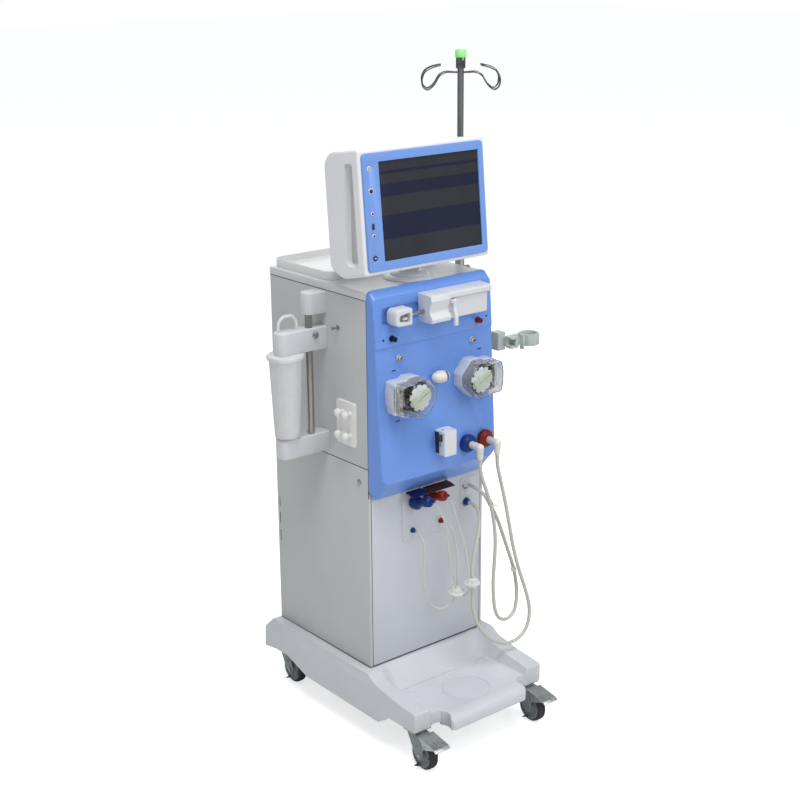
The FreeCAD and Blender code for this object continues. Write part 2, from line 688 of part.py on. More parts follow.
def syringe_clamp():
    """S-shaped lever that holds the barrel in the cradle, hung on a pin."""
    half = 6.0
    y = CLAMP_Y
    side = [(y + 4, CLAMP_Z + 4, 3), (y - 5, CLAMP_Z + 4, 4), (y - 5, 1118, 12), (y - 12, 1098, 12),
            (y - 12, 1076, 3), (y - 5, 1076, 3), (y - 5, 1096, 10), (y + 3, 1116, 12)]
    lever = prism(side, "yz", CLAMP_X + 1 - half + 1.2, CLAMP_X + 1 + half - 1.2)
    return lever.cut(rod((CLAMP_X - 20, y, CLAMP_Z), (CLAMP_X + 20, y, CLAMP_Z), 2 + RUN))


def syringe_pusher():
    """Plunger head on its guide rod, with a finger recess in the front."""
    head = prism([(-152, 1096, 14), (-100, 1096, 5), (-100, 1138, 6), (-152, 1138, 14)], "xz",
                 FRONT - 66, FRONT - 31)
    head = soften(head, 4, lambda e, m: m.y < FRONT - 65.9)
    foot = box(-144, -108, FRONT - 33, FRONT - 24, 1104, 1130)
    recess = prism([(-141, 1108, 6), (-108, 1104, 4), (-108, 1128, 4), (-141, 1124, 6)], "xz",
                   FRONT - 70, FRONT - 54)
    head = head.cut(recess)
    grip = prism([(-136, 1111, 2), (-112, 1109, 2), (-112, 1117, 2)], "xz", FRONT - 60, FRONT - 53)
    y, z = SYR_ROD
    return fuse(head, foot, grip, rod((-101, FRONT - y, z), (-20, FRONT - y, z), SYR_ROD_R))


# Fittings on the fascia and the connector plates

JACK_X = 138.0
JACK_Z = 1062.0
LUER_X = 118.0
LUER_ZS = (1011.5, 1015.0)   # left and right
PORT_X = (88.0, 147.0)
PORT_Z = 753.0
PORT_R = 22.0
WAND_FROM = (-47.0, 613.0)
WAND_PITCH = 48.0
WAND_R = 11.0
WAND_TOWARD = (9.0, -62.0, 19.0)


def jack(x, z):
    y = face_y(z)
    stem = turned([(0, 0), (0, 8), (3, 8), (3, 5.5), (8, 5.5), (9, 6.5), (14, 6.5), (14, 3), (11, 3), (11, 0)],
                  (x, y, z), (0, -1, 0))
    return behind(fuse(stem, rod((x, y + 2, z), (x, y, z), 7.5)))


def luer(x, z):
    """White luer port: a round seat with a short threaded nose."""
    y = face_y(z)
    nose = turned([(-3, 0), (-3, 7.5), (4, 7.5), (5, 7), (5, 4.5), (7, 4.5), (7.6, 5.2), (8.6, 5.2), (9.2, 4.5),
                   (10.4, 4.5), (11, 5.2), (12, 5.2), (12, 2.2), (6, 2.2), (6, 0)], (x, y, z), (0, -1, 0))
    return behind(nose)


def collar(x):
    """Ribbed ring of a parking port."""
    y = face_y(PORT_Z)
    ring = turned([(-3, 8.2), (-3, PORT_R - 1), (5, PORT_R + 1.5), (12, PORT_R + 1.5), (15, PORT_R - 2),
                   (19, PORT_R - 5), (19, 8.2)], (x, y, PORT_Z), (0, -1, 0))
    for step in range(14):
        turn = 2 * math.pi * step / 14
        cx = x + (PORT_R + 2.4) * math.cos(turn)
        cz = PORT_Z + (PORT_R + 2.4) * math.sin(turn)
        ring = ring.cut(rod((cx, y - 25, cz), (cx, y - 4, cz), 2.2))
    return behind(ring)


def elbow(x):
    """Cream elbow out of a parking port: forward, then down."""
    y = face_y(PORT_Z)
    bend_y = FRONT - 101
    nose = fuse(rod((x, y - 1, PORT_Z), (x, bend_y, PORT_Z), 8), rod((x, y - 20, PORT_Z), (x, bend_y, PORT_Z), 9.3))
    knee = Part.makeSphere(9.8, Vector(x, bend_y, PORT_Z))
    drop = turned([(0, 0), (0, 9.3), (12, 9.3), (13.5, 7.8), (16, 7.8), (16.5, 8.8), (19, 8.8), (19.5, 7.6),
                   (22, 7.6), (22.5, 8.4), (25, 8.4), (25.5, 7), (32, 6.4), (32, 0)],
                  (x, bend_y, PORT_Z), (0, 0, -1))
    return behind(fuse(nose, knee, drop))


def wand(x, z):
    """Concentrate wand: ribbed collar, barrel and grip cap, pointing forward and a little up."""
    body = turned([(-8, 0), (-8, 16), (3, 18), (7, 18), (9, 15), (12, WAND_R), (32, WAND_R), (34, 13), (36, 13.5),
                   (48, 13.5), (51, 12), (52, 5), (66, 3.4), (66, 0)], (x, FRONT - 10, z), WAND_TOWARD)
    return body.cut(box(x - 40, x + 40, FRONT - 1.5, FRONT + 30, z - 40, z + 40))


def small_port(x, z, radius, length):
    return turned([(0, 0), (0, radius), (3, radius), (4, radius - 2), (length - 3, radius - 2.4),
                   (length, radius - 3), (length, 0)], (x, FRONT - 1.5, z), (0, -1, 0))


FLAP_Y = FRONT - 9.0
FLAP_Z = 647.0
FLAP_PIN = 1.5


def flap(x0, x1):
    """Thin hinged flap over a wand port, with a stub pin at each end."""
    side = [(FLAP_Y + 1.6, FLAP_Z - 2), (FLAP_Y + 1.6, FLAP_Z + 1.6, 1.5), (FLAP_Y - 12, FLAP_Z + 1.8, 12),
            (FLAP_Y - 33, FLAP_Z - 3, 1), (FLAP_Y - 33, FLAP_Z - 5.2, 1), (FLAP_Y - 12, FLAP_Z - 0.6, 12),
            (FLAP_Y - 2, FLAP_Z - 2)]
    leaf = prism(side, "yz", x0, x1)
    return fuse(leaf, rod((x0 - 1.8, FLAP_Y, FLAP_Z), (x1 + 1.8, FLAP_Y, FLAP_Z), FLAP_PIN))


def flap_ears():
    """Three ears above the connector plate that hold the flaps' pins."""
    ears = []
    for x0, x1 in ((-84, -81.3), (-28.7, -25.3), (57.3, 60)):
        ear = box(x0, x1, FLAP_Y - 3, FRONT - 1.5, FLAP_Z - 3, FLAP_Z + 2.5)
        ears.append(ear.cut(rod((x0 - 1, FLAP_Y, FLAP_Z), (x1 + 1, FLAP_Y, FLAP_Z), FLAP_PIN + RUN)))
    return ears


def chamber_clip():
    """Egg-shaped drip chamber clip with a ribbed notch near its right end."""
    z = 945.0
    y = face_y(z)
    egg = Part.makeSphere(1.0)
    stretch = FreeCAD.Matrix()
    stretch.A11 = 26
    stretch.A22 = 18
    stretch.A33 = 15
    egg = egg.transformGeometry(stretch)
    egg.translate(Vector(0, y - 14, z))
    egg = fuse(egg, rod((0, y + 2, z), (0, y - 12, z), 9))
    notch = prism([(7, y - 40), (16, y - 40), (16, y - 15, 3), (8, y - 15, 3)], "xy", z - 24, z + 24)
    return behind(egg.cut(notch))


# Air detector

DET = (-14.0, 31.0, 746.0, 810.0)
DET_SPLIT = FRONT - 62.0
DET_FRONT = FRONT - 83.0


def air_detector_body():
    x0, x1, z0, z1 = DET
    body = prism(plate_outline(x0, x1, z0, z1, 4, 4), "xz", DET_SPLIT, FRONT - 30)
    body = body.cut(prism([(x0 + 8, z0 - 1), (x0 + 16, z0 - 1), (x0 + 16, z1 + 1), (x0 + 8, z1 + 1)], "xz",
                          DET_SPLIT - 1, DET_SPLIT + 6))
    body = behind(body)
    for z in (z0 + 6, z1 - 14):
        body = fuse(body, box(x1 - 8, x1, DET_SPLIT - 7, DET_SPLIT + 1, z, z + 8))
    pin = rod((x1 - 4, DET_SPLIT - 4, z0 + 6), (x1 - 4, DET_SPLIT - 4, z1 - 6), HINGE_PIN)
    return fuse(body, pin)


def air_detector_door():
    """Front half with the latch tab at its free edge."""
    x0, x1, z0, z1 = DET
    near = DET_SPLIT - GAP
    door = prism(plate_outline(x0, x1 - 9, z0, z1, 4, 4), "xz", DET_FRONT, near)
    barrel = rod((x1 - 4, DET_SPLIT - 4, z0 + 15), (x1 - 4, DET_SPLIT - 4, z1 - 15), 3.5)
    web = box(x1 - 10, x1 - 4, DET_SPLIT - 7.5, DET_SPLIT - 2, z0 + 15, z1 - 15)
    skin = prism([(x1 - 10, DET_FRONT), (x1 - 4, DET_FRONT, 3.5), (x1 - 4, DET_SPLIT - 10),
                  (x1 - 10, DET_SPLIT - 10)], "xy", z0 + 0.01, z1 - 0.01)
    tab = prism([(x0 + 2, DET_SPLIT - 6), (x0 - 11, DET_SPLIT - 6, 2), (x0 - 11, DET_SPLIT - 12, 2),
                 (x0 + 2, DET_SPLIT - 13)], "xy", 786, 802)
    door = fuse(door, barrel, web, skin, tab)
    slot = box(x0 - 1, x0 + 14, DET_SPLIT - 6, near + 1, 770, 784)
    door = door.cut(slot)
    return door.cut(rod((x1 - 4, DET_SPLIT - 4, z0), (x1 - 4, DET_SPLIT - 4, z1), HINGE_PIN + RUN))


# Left side: cartridge holder, pegs and fasteners

def arm_block(z0, z1, out, corner):
    low_y = FRONT + ARM_Y[0]
    high_y = FRONT + ARM_Y[1]
    arm = prism([(-HALF_W, low_y), (-HALF_W, high_y), (-out, high_y, corner), (-out, low_y, corner)],
                "xy", z0, z1)
    return soften(arm, 4, lambda e, m: m.z > z1 - 0.01 and m.x < -HALF_W - 1)


def side_brackets():
    """Top cap, lower arm and peg plate."""
    gx, gy = GUIDE
    cap = arm_block(CAP_Z[0], CAP_Z[1], 247, 18)
    lower = arm_block(LOWER_Z[0], LOWER_Z[1], ARM_OUT, 18)
    seat = Part.makeCylinder(CUP_FOOT_R + GAP, 4, Vector(CUP[0], FRONT + CUP[1], LOWER_Z[1] - 3))
    lower = lower.cut(seat)
    y0, y1, z0, z1 = PEG_PLATE
    pegs = prism([(FRONT + y0, z0, 8), (FRONT + y1, z0, 8), (FRONT + y1, z1, 8), (FRONT + y0, z1, 8)], "yz",
                 -HALF_W - 5, -HALF_W)
    pegs = soften(pegs, 2, lambda e, m: m.x < -HALF_W - 4.9)
    for y in (62, 92):
        for z in (806, 862):
            pegs = fuse(pegs, turned([(0, 0), (0, 7), (2, 5.5), (9, 5.5), (12, 9), (17, 10.4), (22, 9), (25, 5),
                                      (26, 0)], (-HALF_W - 4, FRONT + y, z), (-1, 0, 0)))
    return [cap, lower, pegs]


def holder_rod():
    gx, gy = GUIDE
    return rod((gx, FRONT + gy, LOWER_Z[1]), (gx, FRONT + gy, CAP_Z[0]), GUIDE_R)


def holder_upper_arm():
    gx, gy = GUIDE
    arm = arm_block(UPPER_Z[0], UPPER_Z[1], ARM_OUT, 18)
    wall = box(-HALF_W - GAP, -HALF_W + 1, FRONT, FRONT + 300, UPPER_Z[0] - 1, UPPER_Z[1] + 1)
    arm = arm.cut(wall)
    arm = arm.cut(rod((gx, FRONT + gy, UPPER_Z[0] - 1), (gx, FRONT + gy, UPPER_Z[1] + 1), GUIDE_R + RUN))
    knob = turned([(-1, 0), (-1, 8), (5, 8), (6.5, 6.5), (6.5, 0)], (-226, FRONT + ARM_Y[0], 1048), (0, -1, 0))
    arm = fuse(arm, knob)
    y = FRONT + CUP[1]
    arch = tube([Vector(-322, y, UPPER_Z[1]), Vector(-322, y, 1089), Vector(-309, y, 1103), Vector(-281, y, 1103),
                 Vector(-268, y, 1089), Vector(-268, y, UPPER_Z[1])], 4)
    return [arm, arch]


def cartridge():
    """Frosted cup with its lid flange and a foot that sits in the lower arm."""
    x, y = CUP
    high = CUP_TOP - CUP_LOW
    foot = LOWER_Z[1] - 3 - CUP_LOW
    cup = turned([(foot, 0), (foot, CUP_FOOT_R), (0, CUP_FOOT_R), (0, CUP_LOW_R - 5), (4, CUP_LOW_R),
                  (high - 12, CUP_TOP_R), (high - 10, CUP_FLANGE_R), (high - 2, CUP_FLANGE_R),
                  (high, CUP_FLANGE_R - 3), (high, 0)], (x, FRONT + y, CUP_LOW), (0, 0, 1))
    hollow = turned([(4, 0), (4, CUP_LOW_R - 6), (7, CUP_LOW_R - CUP_WALL), (high - 6, CUP_TOP_R - CUP_WALL),
                     (high - 6, 0)], (x, FRONT + y, CUP_LOW), (0, 0, 1))
    return cup.cut(hollow)


def panel_fasteners():
    """Lock screws and the hanging pin on the side panels."""
    items = []
    for sign in (-1, 1):
        items.append(turned([(0, 0), (0, 7), (2, 7), (3, 5.5), (3, 0)],
                            (sign * HALF_W, FRONT + 36, 691), (sign, 0, 0)))
    items.append(turned([(0, 0), (0, 6), (2, 6), (2, 2.5), (14, 2.5), (15, 4), (19, 4), (20, 3), (20, 0)],
                        (-HALF_W, FRONT + 111, 1070), (-1, 0, 0)))
    return items


# Right side: pole and dialyser holder

def pole_sleeve():
    x, y = POLE[0], FRONT + POLE[1]
    sleeve = rod((x, y, SLEEVE_LOW), (x, y, SLEEVE_HIGH), SLEEVE_R)
    for z in (690, 1110):
        foot = box(HALF_W, HALF_W + 5, y - 24, y + 24, z, z + 36)
        arm = box(HALF_W, x, y - 9, y + 9, z + 6, z + 30)
        grip = rod((x, y, z + 3), (x, y, z + 33), SLEEVE_R + 5)
        sleeve = fuse(sleeve, foot, arm, grip)
    stop = rod((x, y, HOLDER_Z - 24), (x, y, HOLDER_Z - 17), SLEEVE_R + 4)
    knob = turned([(0, 0), (0, 4), (6, 4), (8, 12), (18, 12), (20, 10), (20, 0)],
                  (x + SLEEVE_R - 1, y, SLEEVE_HIGH - 40), (1, 0, 0))
    sleeve = fuse(sleeve, stop, knob)
    return sleeve.cut(rod((x, y, SLEEVE_LOW + 6), (x, y, SLEEVE_HIGH + 1), ROD_R + RUN))


def hook(turn):
    """One bag hook: straight out under the collar, down into a bowl, then up and back over."""
    reach = HOOK_REACH
    shape = [(5, 0), (reach - 62, 2), (reach - 46, -6), (reach - 32, -30), (reach - 15, -42), (reach - 2, -32),
             (reach, -12), (reach - 8, 5), (reach - 26, 14), (reach - 50, 19)]
    x, y = POLE[0], FRONT + POLE[1]
    points = [Vector(x + r * math.cos(turn), y + r * math.sin(turn), HOOK_Z + z) for r, z in shape]
    return tube(points, HOOK_WIRE)


def iv_pole():
    x, y = POLE[0], FRONT + POLE[1]
    pole = rod((x, y, ROD_LOW), (x, y, LAMP_LOW), ROD_R)
    pole = fuse(pole, turned([(0, 0), (0, COLLAR_R - 1), (1, COLLAR_R), (LAMP_LOW - COLLAR_LOW, COLLAR_R),
                              (LAMP_LOW - COLLAR_LOW, 0)], (x, y, COLLAR_LOW), (0, 0, 1)))
    for turn in HOOK_TURNS:
        pole = fuse(pole, hook(math.radians(turn)))
    return pole


def status_lamp():
    x, y = POLE[0], FRONT + POLE[1]
    return turned([(0, 0), (0, LAMP_R), (LAMP_TALL - 4, LAMP_R), (LAMP_TALL, LAMP_R - 4), (LAMP_TALL, 0)],
                  (x, y, LAMP_LOW), (0, 0, 1))


JAW_PIVOT = (270.0, -36.0)


def dialyser_arm():
    """Collar round the sleeve, arm, block and the fixed half of the jaws."""
    x, y = POLE[0], FRONT + POLE[1]
    low = HOLDER_Z - 16.7
    high = HOLDER_Z + 17
    ring = rod((x, y, low), (x, y, high), SLEEVE_R + 7)
    bx, by = HOLDER_BLOCK[0], FRONT + HOLDER_BLOCK[1]
    way = Vector(bx - x, by - y, 0)
    side = Vector(-way.y, way.x, 0).normalize() * 7
    corners = [Vector(x, y, low + 4) + side, Vector(x, y, low + 4) - side, Vector(bx, by, low + 4) - side,
               Vector(bx, by, low + 4) + side]
    bar = Part.Face(Part.makePolygon(corners + [corners[0]])).extrude(Vector(0, 0, high - low - 8))
    block = prism([(bx - 13, by - 16, 4), (bx + 13, by - 16, 4), (bx + 13, by + 14, 4), (bx - 13, by + 14, 4)],
                  "xy", HOLDER_Z - 23, HOLDER_Z + 23)
    jx, jy = JAW_AT[0], FRONT + JAW_AT[1]
    outer = JAW_R + JAW_WALL
    half = rod((jx, jy, HOLDER_Z - JAW_H / 2), (jx, jy, HOLDER_Z + JAW_H / 2), outer)
    half = half.cut(box(jx - 40, jx + 40, jy - 40, jy + 1, HOLDER_Z - 40, HOLDER_Z + 40))
    link = box(bx + 5, jx - JAW_R, jy + 9, jy + 23, HOLDER_Z - JAW_H / 2 + 3, HOLDER_Z + JAW_H / 2 - 3)
    arm = fuse(ring, bar, block, half, link)
    px, py = JAW_PIVOT[0], FRONT + JAW_PIVOT[1]
    for z in (HOLDER_Z - JAW_H / 2, HOLDER_Z + JAW_H / 2 - 6):
        arm = fuse(arm, box(bx + 5, px + 5, py - 4, jy + 12, z, z + 6))
    arm = arm.cut(rod((jx, jy, 900), (jx, jy, 1050), JAW_R))
    pin = rod((px, py, HOLDER_Z - JAW_H / 2), (px, py, HOLDER_Z + JAW_H / 2), 2.5)
    arm = fuse(arm, pin)
    for step in range(5):
        turn = math.radians(15 + step * 30)
        rib = box(outer - 1, outer + 1.6, -1.2, 1.2, HOLDER_Z - JAW_H / 2, HOLDER_Z + JAW_H / 2)
        rib.rotate(Vector(0, 0, 0), Vector(0, 0, 1), math.degrees(turn))
        rib.translate(Vector(jx, jy, 0))
        arm = fuse(arm, rib)
    return arm.cut(rod((x, y, low - 1), (x, y, high + 1), SLEEVE_R + RUN))


def dialyser_jaw():
    """Moving half of the jaws with its squeeze lever."""
    jx, jy = JAW_AT[0], FRONT + JAW_AT[1]
    px, py = JAW_PIVOT[0], FRONT + JAW_PIVOT[1]
    outer = JAW_R + JAW_WALL
    low = HOLDER_Z - JAW_H / 2
    high = HOLDER_Z + JAW_H / 2
    half = rod((jx, jy, low), (jx, jy, high), outer)
    half = half.cut(box(jx - 40, jx + 40, jy, jy + 40, low - 1, high + 1))
    reach = box(px, jx - JAW_R, py - 4, py + 4, low + 6.5, high - 6.5)
    knuckle = rod((px, py, low + 6.5), (px, py, high - 6.5), 5)
    lever = box(px + 10, px + 14, py - 16, py - 3, low - 4, high + 4)
    jaw = fuse(half, reach, knuckle, lever)
    jaw = jaw.cut(rod((jx, jy, 900), (jx, jy, 1050), JAW_R))
    for step in range(5):
        turn = math.radians(-15 - step * 30)
        rib = box(outer - 1, outer + 1.6, -1.2, 1.2, low, high)
        rib.rotate(Vector(0, 0, 0), Vector(0, 0, 1), math.degrees(turn))
        rib.translate(Vector(jx, jy, 0))
        jaw = fuse(jaw, rib)
    return jaw.cut(rod((px, py, low - 5), (px, py, high + 5), 2.5 + RUN))


# Monitor

def tilted(solid):
    """Lean a piece modelled upright about the screen's centre back to its place."""
    solid.rotate(Vector(0, FRONT + SCREEN_Y, SCREEN_Z), Vector(1, 0, 0), -MON_TILT)
    return solid


def monitor_turntable():
    x, y = MON_PIVOT[0], FRONT + MON_PIVOT[1]
    plate = turned([(0, 6 + RUN), (0, NECK_PLATE_R), (3, NECK_PLATE_R), (7, NECK_PLATE_R - 6), (9, NECK_PLATE_R - 16),
                    (9, 6 + RUN)], (x, y, TOP_Z), (0, 0, 1))
    return plate


def monitor_neck():
    """Swivel post with the tilt barrel on top."""
    x, y, z = MON_PIVOT[0], FRONT + MON_PIVOT[1], MON_PIVOT[2]
    foot = turned([(0, 0), (0, 46), (3, 46), (8, 38), (8, 0)], (x, y, TOP_Z + 9 + GAP), (0, 0, 1))
    pin = rod((x, y, TOP_Z + 0.5), (x, y, TOP_Z + 12), 6)
    post = prism([(x - 28, y - 12, 8), (x + 28, y - 12, 8), (x + 28, y + 12, 8), (x - 28, y + 12, 8)], "xy",
                 TOP_Z + 12, z)
    barrel = rod((x - BARREL_HALF, y, z), (x + BARREL_HALF, y, z), BARREL_R)
    neck = fuse(foot, pin, post, barrel)
    return neck.cut(rod((x - 60, y, z), (x + 60, y, z), 4 + RUN))


def side_profile(grow):
    """Side view of the rear shell: (Y, Z, radius) corners, leaning with the screen at the front."""
    return [(FRONT - 27 + grow, 1221 + grow, 8), (FRONT + 60, 1201 + grow, 30), (FRONT + 110 - grow, 1217 + grow, 30),
            (FRONT + 131 - grow, 1496 - grow, 44), (FRONT + 60, 1504 - grow, 30), (FRONT - 1 + grow, 1514 - grow, 8)]


def monitor_rear_cover():
    """Rear shell: front rim, main body, and a handle loop down each side."""
    x0 = BEZEL[0] - SHELL_RIM
    x1 = BEZEL[1] + SHELL_RIM
    shell = prism(side_profile(0), "yz", x0, x1)
    shell = soften(shell, 7, lambda e, m: min(abs(m.x - x0), abs(m.x - x1)) < 0.01)
    back_cut = prism([(FRONT + BODY_BACK, 1180), (FRONT + 200, 1180), (FRONT + 200, 1540),
                      (FRONT + BODY_BACK + 8, 1540)], "yz", x0 + HANDLE_T, x1 - HANDLE_T)
    shell = shell.cut(back_cut)
    low_cut = prism([(FRONT + 6, 1190), (FRONT + 200, 1190), (FRONT + 200, 1222, 3), (FRONT + 6, 1226, 3)], "yz",
                    x0 + HANDLE_T, x1 - HANDLE_T)
    shell = shell.cut(low_cut)
    for edge_x, sign in ((x0, 1), (x1, -1)):
        gap_a = edge_x + sign * HANDLE_T
        gap_b = gap_a + sign * HANDLE_GAP
        lane = prism([(FRONT - 2, 1236, 14), (FRONT + 200, 1236), (FRONT + 200, 1476), (FRONT + 19, 1476, 14)],
                     "yz", min(gap_a, gap_b), max(gap_a, gap_b))
        slot = prism([(FRONT - 2, 1236, 14), (FRONT + 45, 1236, 14), (FRONT + 47, 1478, 8), (FRONT + 19, 1478, 8)],
                     "yz", min(edge_x, gap_a) - 1, max(edge_x, gap_a) + 1)
        shell = shell.cut(lane).cut(slot)
    x, y, z = MON_PIVOT[0], FRONT + MON_PIVOT[1], MON_PIVOT[2]
    saddle = fuse(rod((x - BARREL_HALF - GAP, y, z), (x + BARREL_HALF + GAP, y, z), BARREL_R + 1.5),
                  box(x - BARREL_HALF - GAP, x + BARREL_HALF + GAP, y - 26, y + 26, 1190, z))
    shell = shell.cut(saddle)
    y_face = FRONT + SCREEN_Y
    front_cut = tilted(box(x0 - 5, x1 + 5, y_face - 40, y_face - LIP, SCREEN_Z - 300, SCREEN_Z + 300))
    shell = shell.cut(front_cut)
    bx0, bx1, bz0, bz1 = BEZEL
    pocket = prism(plate_outline(bx0 - GAP, bx1 + GAP, SCREEN_Z + bz0 - GAP, SCREEN_Z + bz1 + GAP, 10, 10), "xz",
                   y_face - 30, y_face + 2)
    shell = shell.cut(tilted(pocket))
    cavity = tilted(box(SCREEN[0] - 4, SCREEN[1] - 14, y_face - 1, FRONT + 52, SCREEN_Z - 94, SCREEN_Z + 112))
    shell = shell.cut(cavity)
    pin = rod((x - BARREL_HALF - 8, y, z), (x + BARREL_HALF + 8, y, z), 4)
    return fuse(shell, pin)


def monitor_bezel():
    x0, x1, z0, z1 = BEZEL
    y = FRONT + SCREEN_Y
    plate = prism([(x0, SCREEN_Z + z0, 10), (x1, SCREEN_Z + z0, 10), (x1, SCREEN_Z + z1, 10),
                   (x0, SCREEN_Z + z1, 10)], "xz", y - BEZEL_T + 2, y + 2)
    plate = soften(plate, 2, lambda e, m: m.y < y - BEZEL_T + 2.01)
    s0, s1, t0, t1 = SCREEN
    plate = plate.cut(box(s0, s1, y - 20, y + 20, SCREEN_Z + t0, SCREEN_Z + t1))
    for z in (BUTTON_ZS[0], BUTTON_ZS[1]):
        plate = plate.cut(rod((BUTTON_X, y - 20, SCREEN_Z + z), (BUTTON_X, y + 20, SCREEN_Z + z), BUTTON_R + GAP))
    return tilted(plate)


BUTTON_X = -183.0
BUTTON_ZS = (102.0, -105.0)
BUTTON_R = 6.5


def monitor_screen():
    y = FRONT + SCREEN_Y
    s0, s1, t0, t1 = SCREEN
    return tilted(box(s0, s1, y - 2.5, y + 2, SCREEN_Z + t0, SCREEN_Z + t1))


def monitor_button(z):
    y = FRONT + SCREEN_Y
    button = turned([(0, 0), (0, BUTTON_R), (6.5, BUTTON_R), (7.5, BUTTON_R - 1), (7.5, 0)],
                    (BUTTON_X, y + 0.2, SCREEN_Z + z), (0, -1, 0))
    return tilted(button)


def monitor_controls():
    """Fixed controls on the bezel: dark key, two ring jacks and a slot."""
    y = FRONT + SCREEN_Y - BEZEL_T + 2
    items = []
    for z, r in ((51, 7), (-1, 4.5), (-53, 4.5)):
        items.append(tilted(turned([(0, 0), (0, r), (1, r), (1.6, r - 1), (1.6, 0)],
                                   (BUTTON_X, y, SCREEN_Z + z), (0, -1, 0))))
    items.append(tilted(box(BUTTON_X - 3.5, BUTTON_X + 3.5, y - 1, y, SCREEN_Z - 38, SCREEN_Z - 24)))
    return items


# Inside of the cabinet

def internal_modules():
    """Pump motors, hydraulic block, power supply and control board."""
    items = []
    for sign in (-1, 1):
        at = sign * PUMP_X
        level = PUMP_ZS[sign]
        motor = rod((at, FRONT + SHEET, level), (at, FRONT + 90, level), 34)
        motor = motor.cut(rod((at, FRONT, level), (at, FRONT + 34, level), SHAFT_R + RUN))
        items.append(motor)
    items.append(box(-120, 140, FRONT + 60, FRONT + 330, 563, 690))
    items.append(box(-140, 100, FRONT + 120, FRONT + 360, FOOT_Z, 330))
    items.append(box(-180, 180, BACK - SHEET - POST - 12, BACK - SHEET - POST, 745, 1125))
    return items


# Hoses

def tube(points, radius):
    """Round tube along straight runs joined by tangent arcs."""
    edges = []
    last = points[0]
    for index in range(1, len(points) - 1):
        before, here, after = points[index - 1:index + 2]
        inward = before - here
        onward = after - here
        shorter = min(inward.Length, onward.Length)
        inward.normalize()
        onward.normalize()
        half = inward.getAngle(onward) / 2
        reach = 0.45 * shorter
        bend = reach * math.tan(half)
        middle = here + (inward + onward).normalize() * (bend / math.sin(half) - bend)
        start = here + inward * reach
        end = here + onward * reach
        edges.append(Part.LineSegment(last, start).toShape())
        edges.append(Part.Arc(start, middle, end).toShape())
        last = end
    edges.append(Part.LineSegment(last, points[-1]).toShape())
    path = Part.Wire(edges)
    first = (points[1] - points[0]).normalize()
    ring = Part.Wire(Part.makeCircle(radius, points[0], first))
    return path.makePipeShell([ring], True, False)


def bends(points):
    radii = []
    for index in range(1, len(points) - 1):
        before, here, after = points[index - 1:index + 2]
        half = (before - here).getAngle(after - here) / 2
        radii.append(0.45 * min((before - here).Length, (after - here).Length) * math.tan(half))
    return radii


HOSES = {
    "hose_blue": (HOSE_R, [
        (88, -184, 721), (88, -184, 699), (97, -183, 668), (115, -181, 629), (133, -178, 586),
        (148, -175, 534), (155, -174, 480), (151, -175, 424), (145, -177, 372), (145, -179, 330),
        (149, -180, 290), (161, -182, 260), (190, -183, 247), (220, -181, 260), (232, -177, 291),
        (234, -173, 334), (226, -169, 384), (210, -163, 436), (194, -158, 486), (180, -156, 524),
        (166, -155, 553), (150, -152, 583), (138, -142, 608), (131, -121, 618), (131, -96.5, 618)]),
    "hose_red": (HOSE_R, [
        (147, -184, 721), (147, -184, 697), (157, -185, 658), (171, -187, 603), (186, -189, 534),
        (201, -191, 458), (222, -193, 386), (248, -196, 318), (262, -199, 258), (248, -201, 208),
        (205, -202, 186), (152, -200, 196), (104, -196, 230), (74, -190, 280), (66, -183, 330),
        (74, -177, 380), (73, -173, 428), (90, -167, 474), (112, -157, 518), (127, -142, 554),
        (131, -121, 570), (131, -96.5, 570)]),
    "tube_blue": (TUBE_R, [
        (-51, -96.5, 537), (-51, -112, 537), (-50, -124, 524), (-48, -129, 498), (-51, -130, 456),
        (-54, -130, 412), (-47, -131, 366), (-24, -133, 331), (6, -137, 318), (31, -145, 330),
        (39, -151, 356), (36, -154, 386), (20, -156, 424), (8, -158, 470), (2, -160, 519),
        (-6, -162, 565), (-21, -160, 600), (-36, -159, 622)]),
    "tube_red": (TUBE_R, [
        (43, -96.5, 539), (43, -112, 539), (48, -123, 526), (57, -128, 499), (61, -130, 456),
        (58, -133, 412), (55, -137, 366), (58, -148, 348), (61, -164, 348), (64, -175, 366),
        (64, -175, 395), (61, -174, 430), (56, -171, 470), (46, -168, 515), (34, -165, 556),
        (22, -163, 596), (12, -160, 624)]),
}


def hose_points(name):
    return [Vector(*p) for p in HOSES[name][1]]


def clamp(x, y, z, names):
    """Finned roller clamp that the lines run through."""
    body = turned([(0, 0), (0, 12), (4, 13), (20, 13), (24, 12), (24, 0)], (x, y, z - 12), (0, 0, 1))
    flange = turned([(8, 0), (8, 20), (9, 21.5), (12, 21.5), (13, 20), (13, 0)], (x, y, z - 12), (0, 0, 1))
    body = fuse(body, flange)
    for step in range(8):
        fin = box(11, 18.5, -1.1, 1.1, z - 9, z + 8)
        fin.rotate(Vector(0, 0, 0), Vector(0, 0, 1), 45 * step + 22.5)
        fin.translate(Vector(x, y, 0))
        body = fuse(body, fin)
    for name in names:
        radius, points = HOSES[name]
        body = body.cut(tube(hose_points(name), radius + 0.2))
    return body


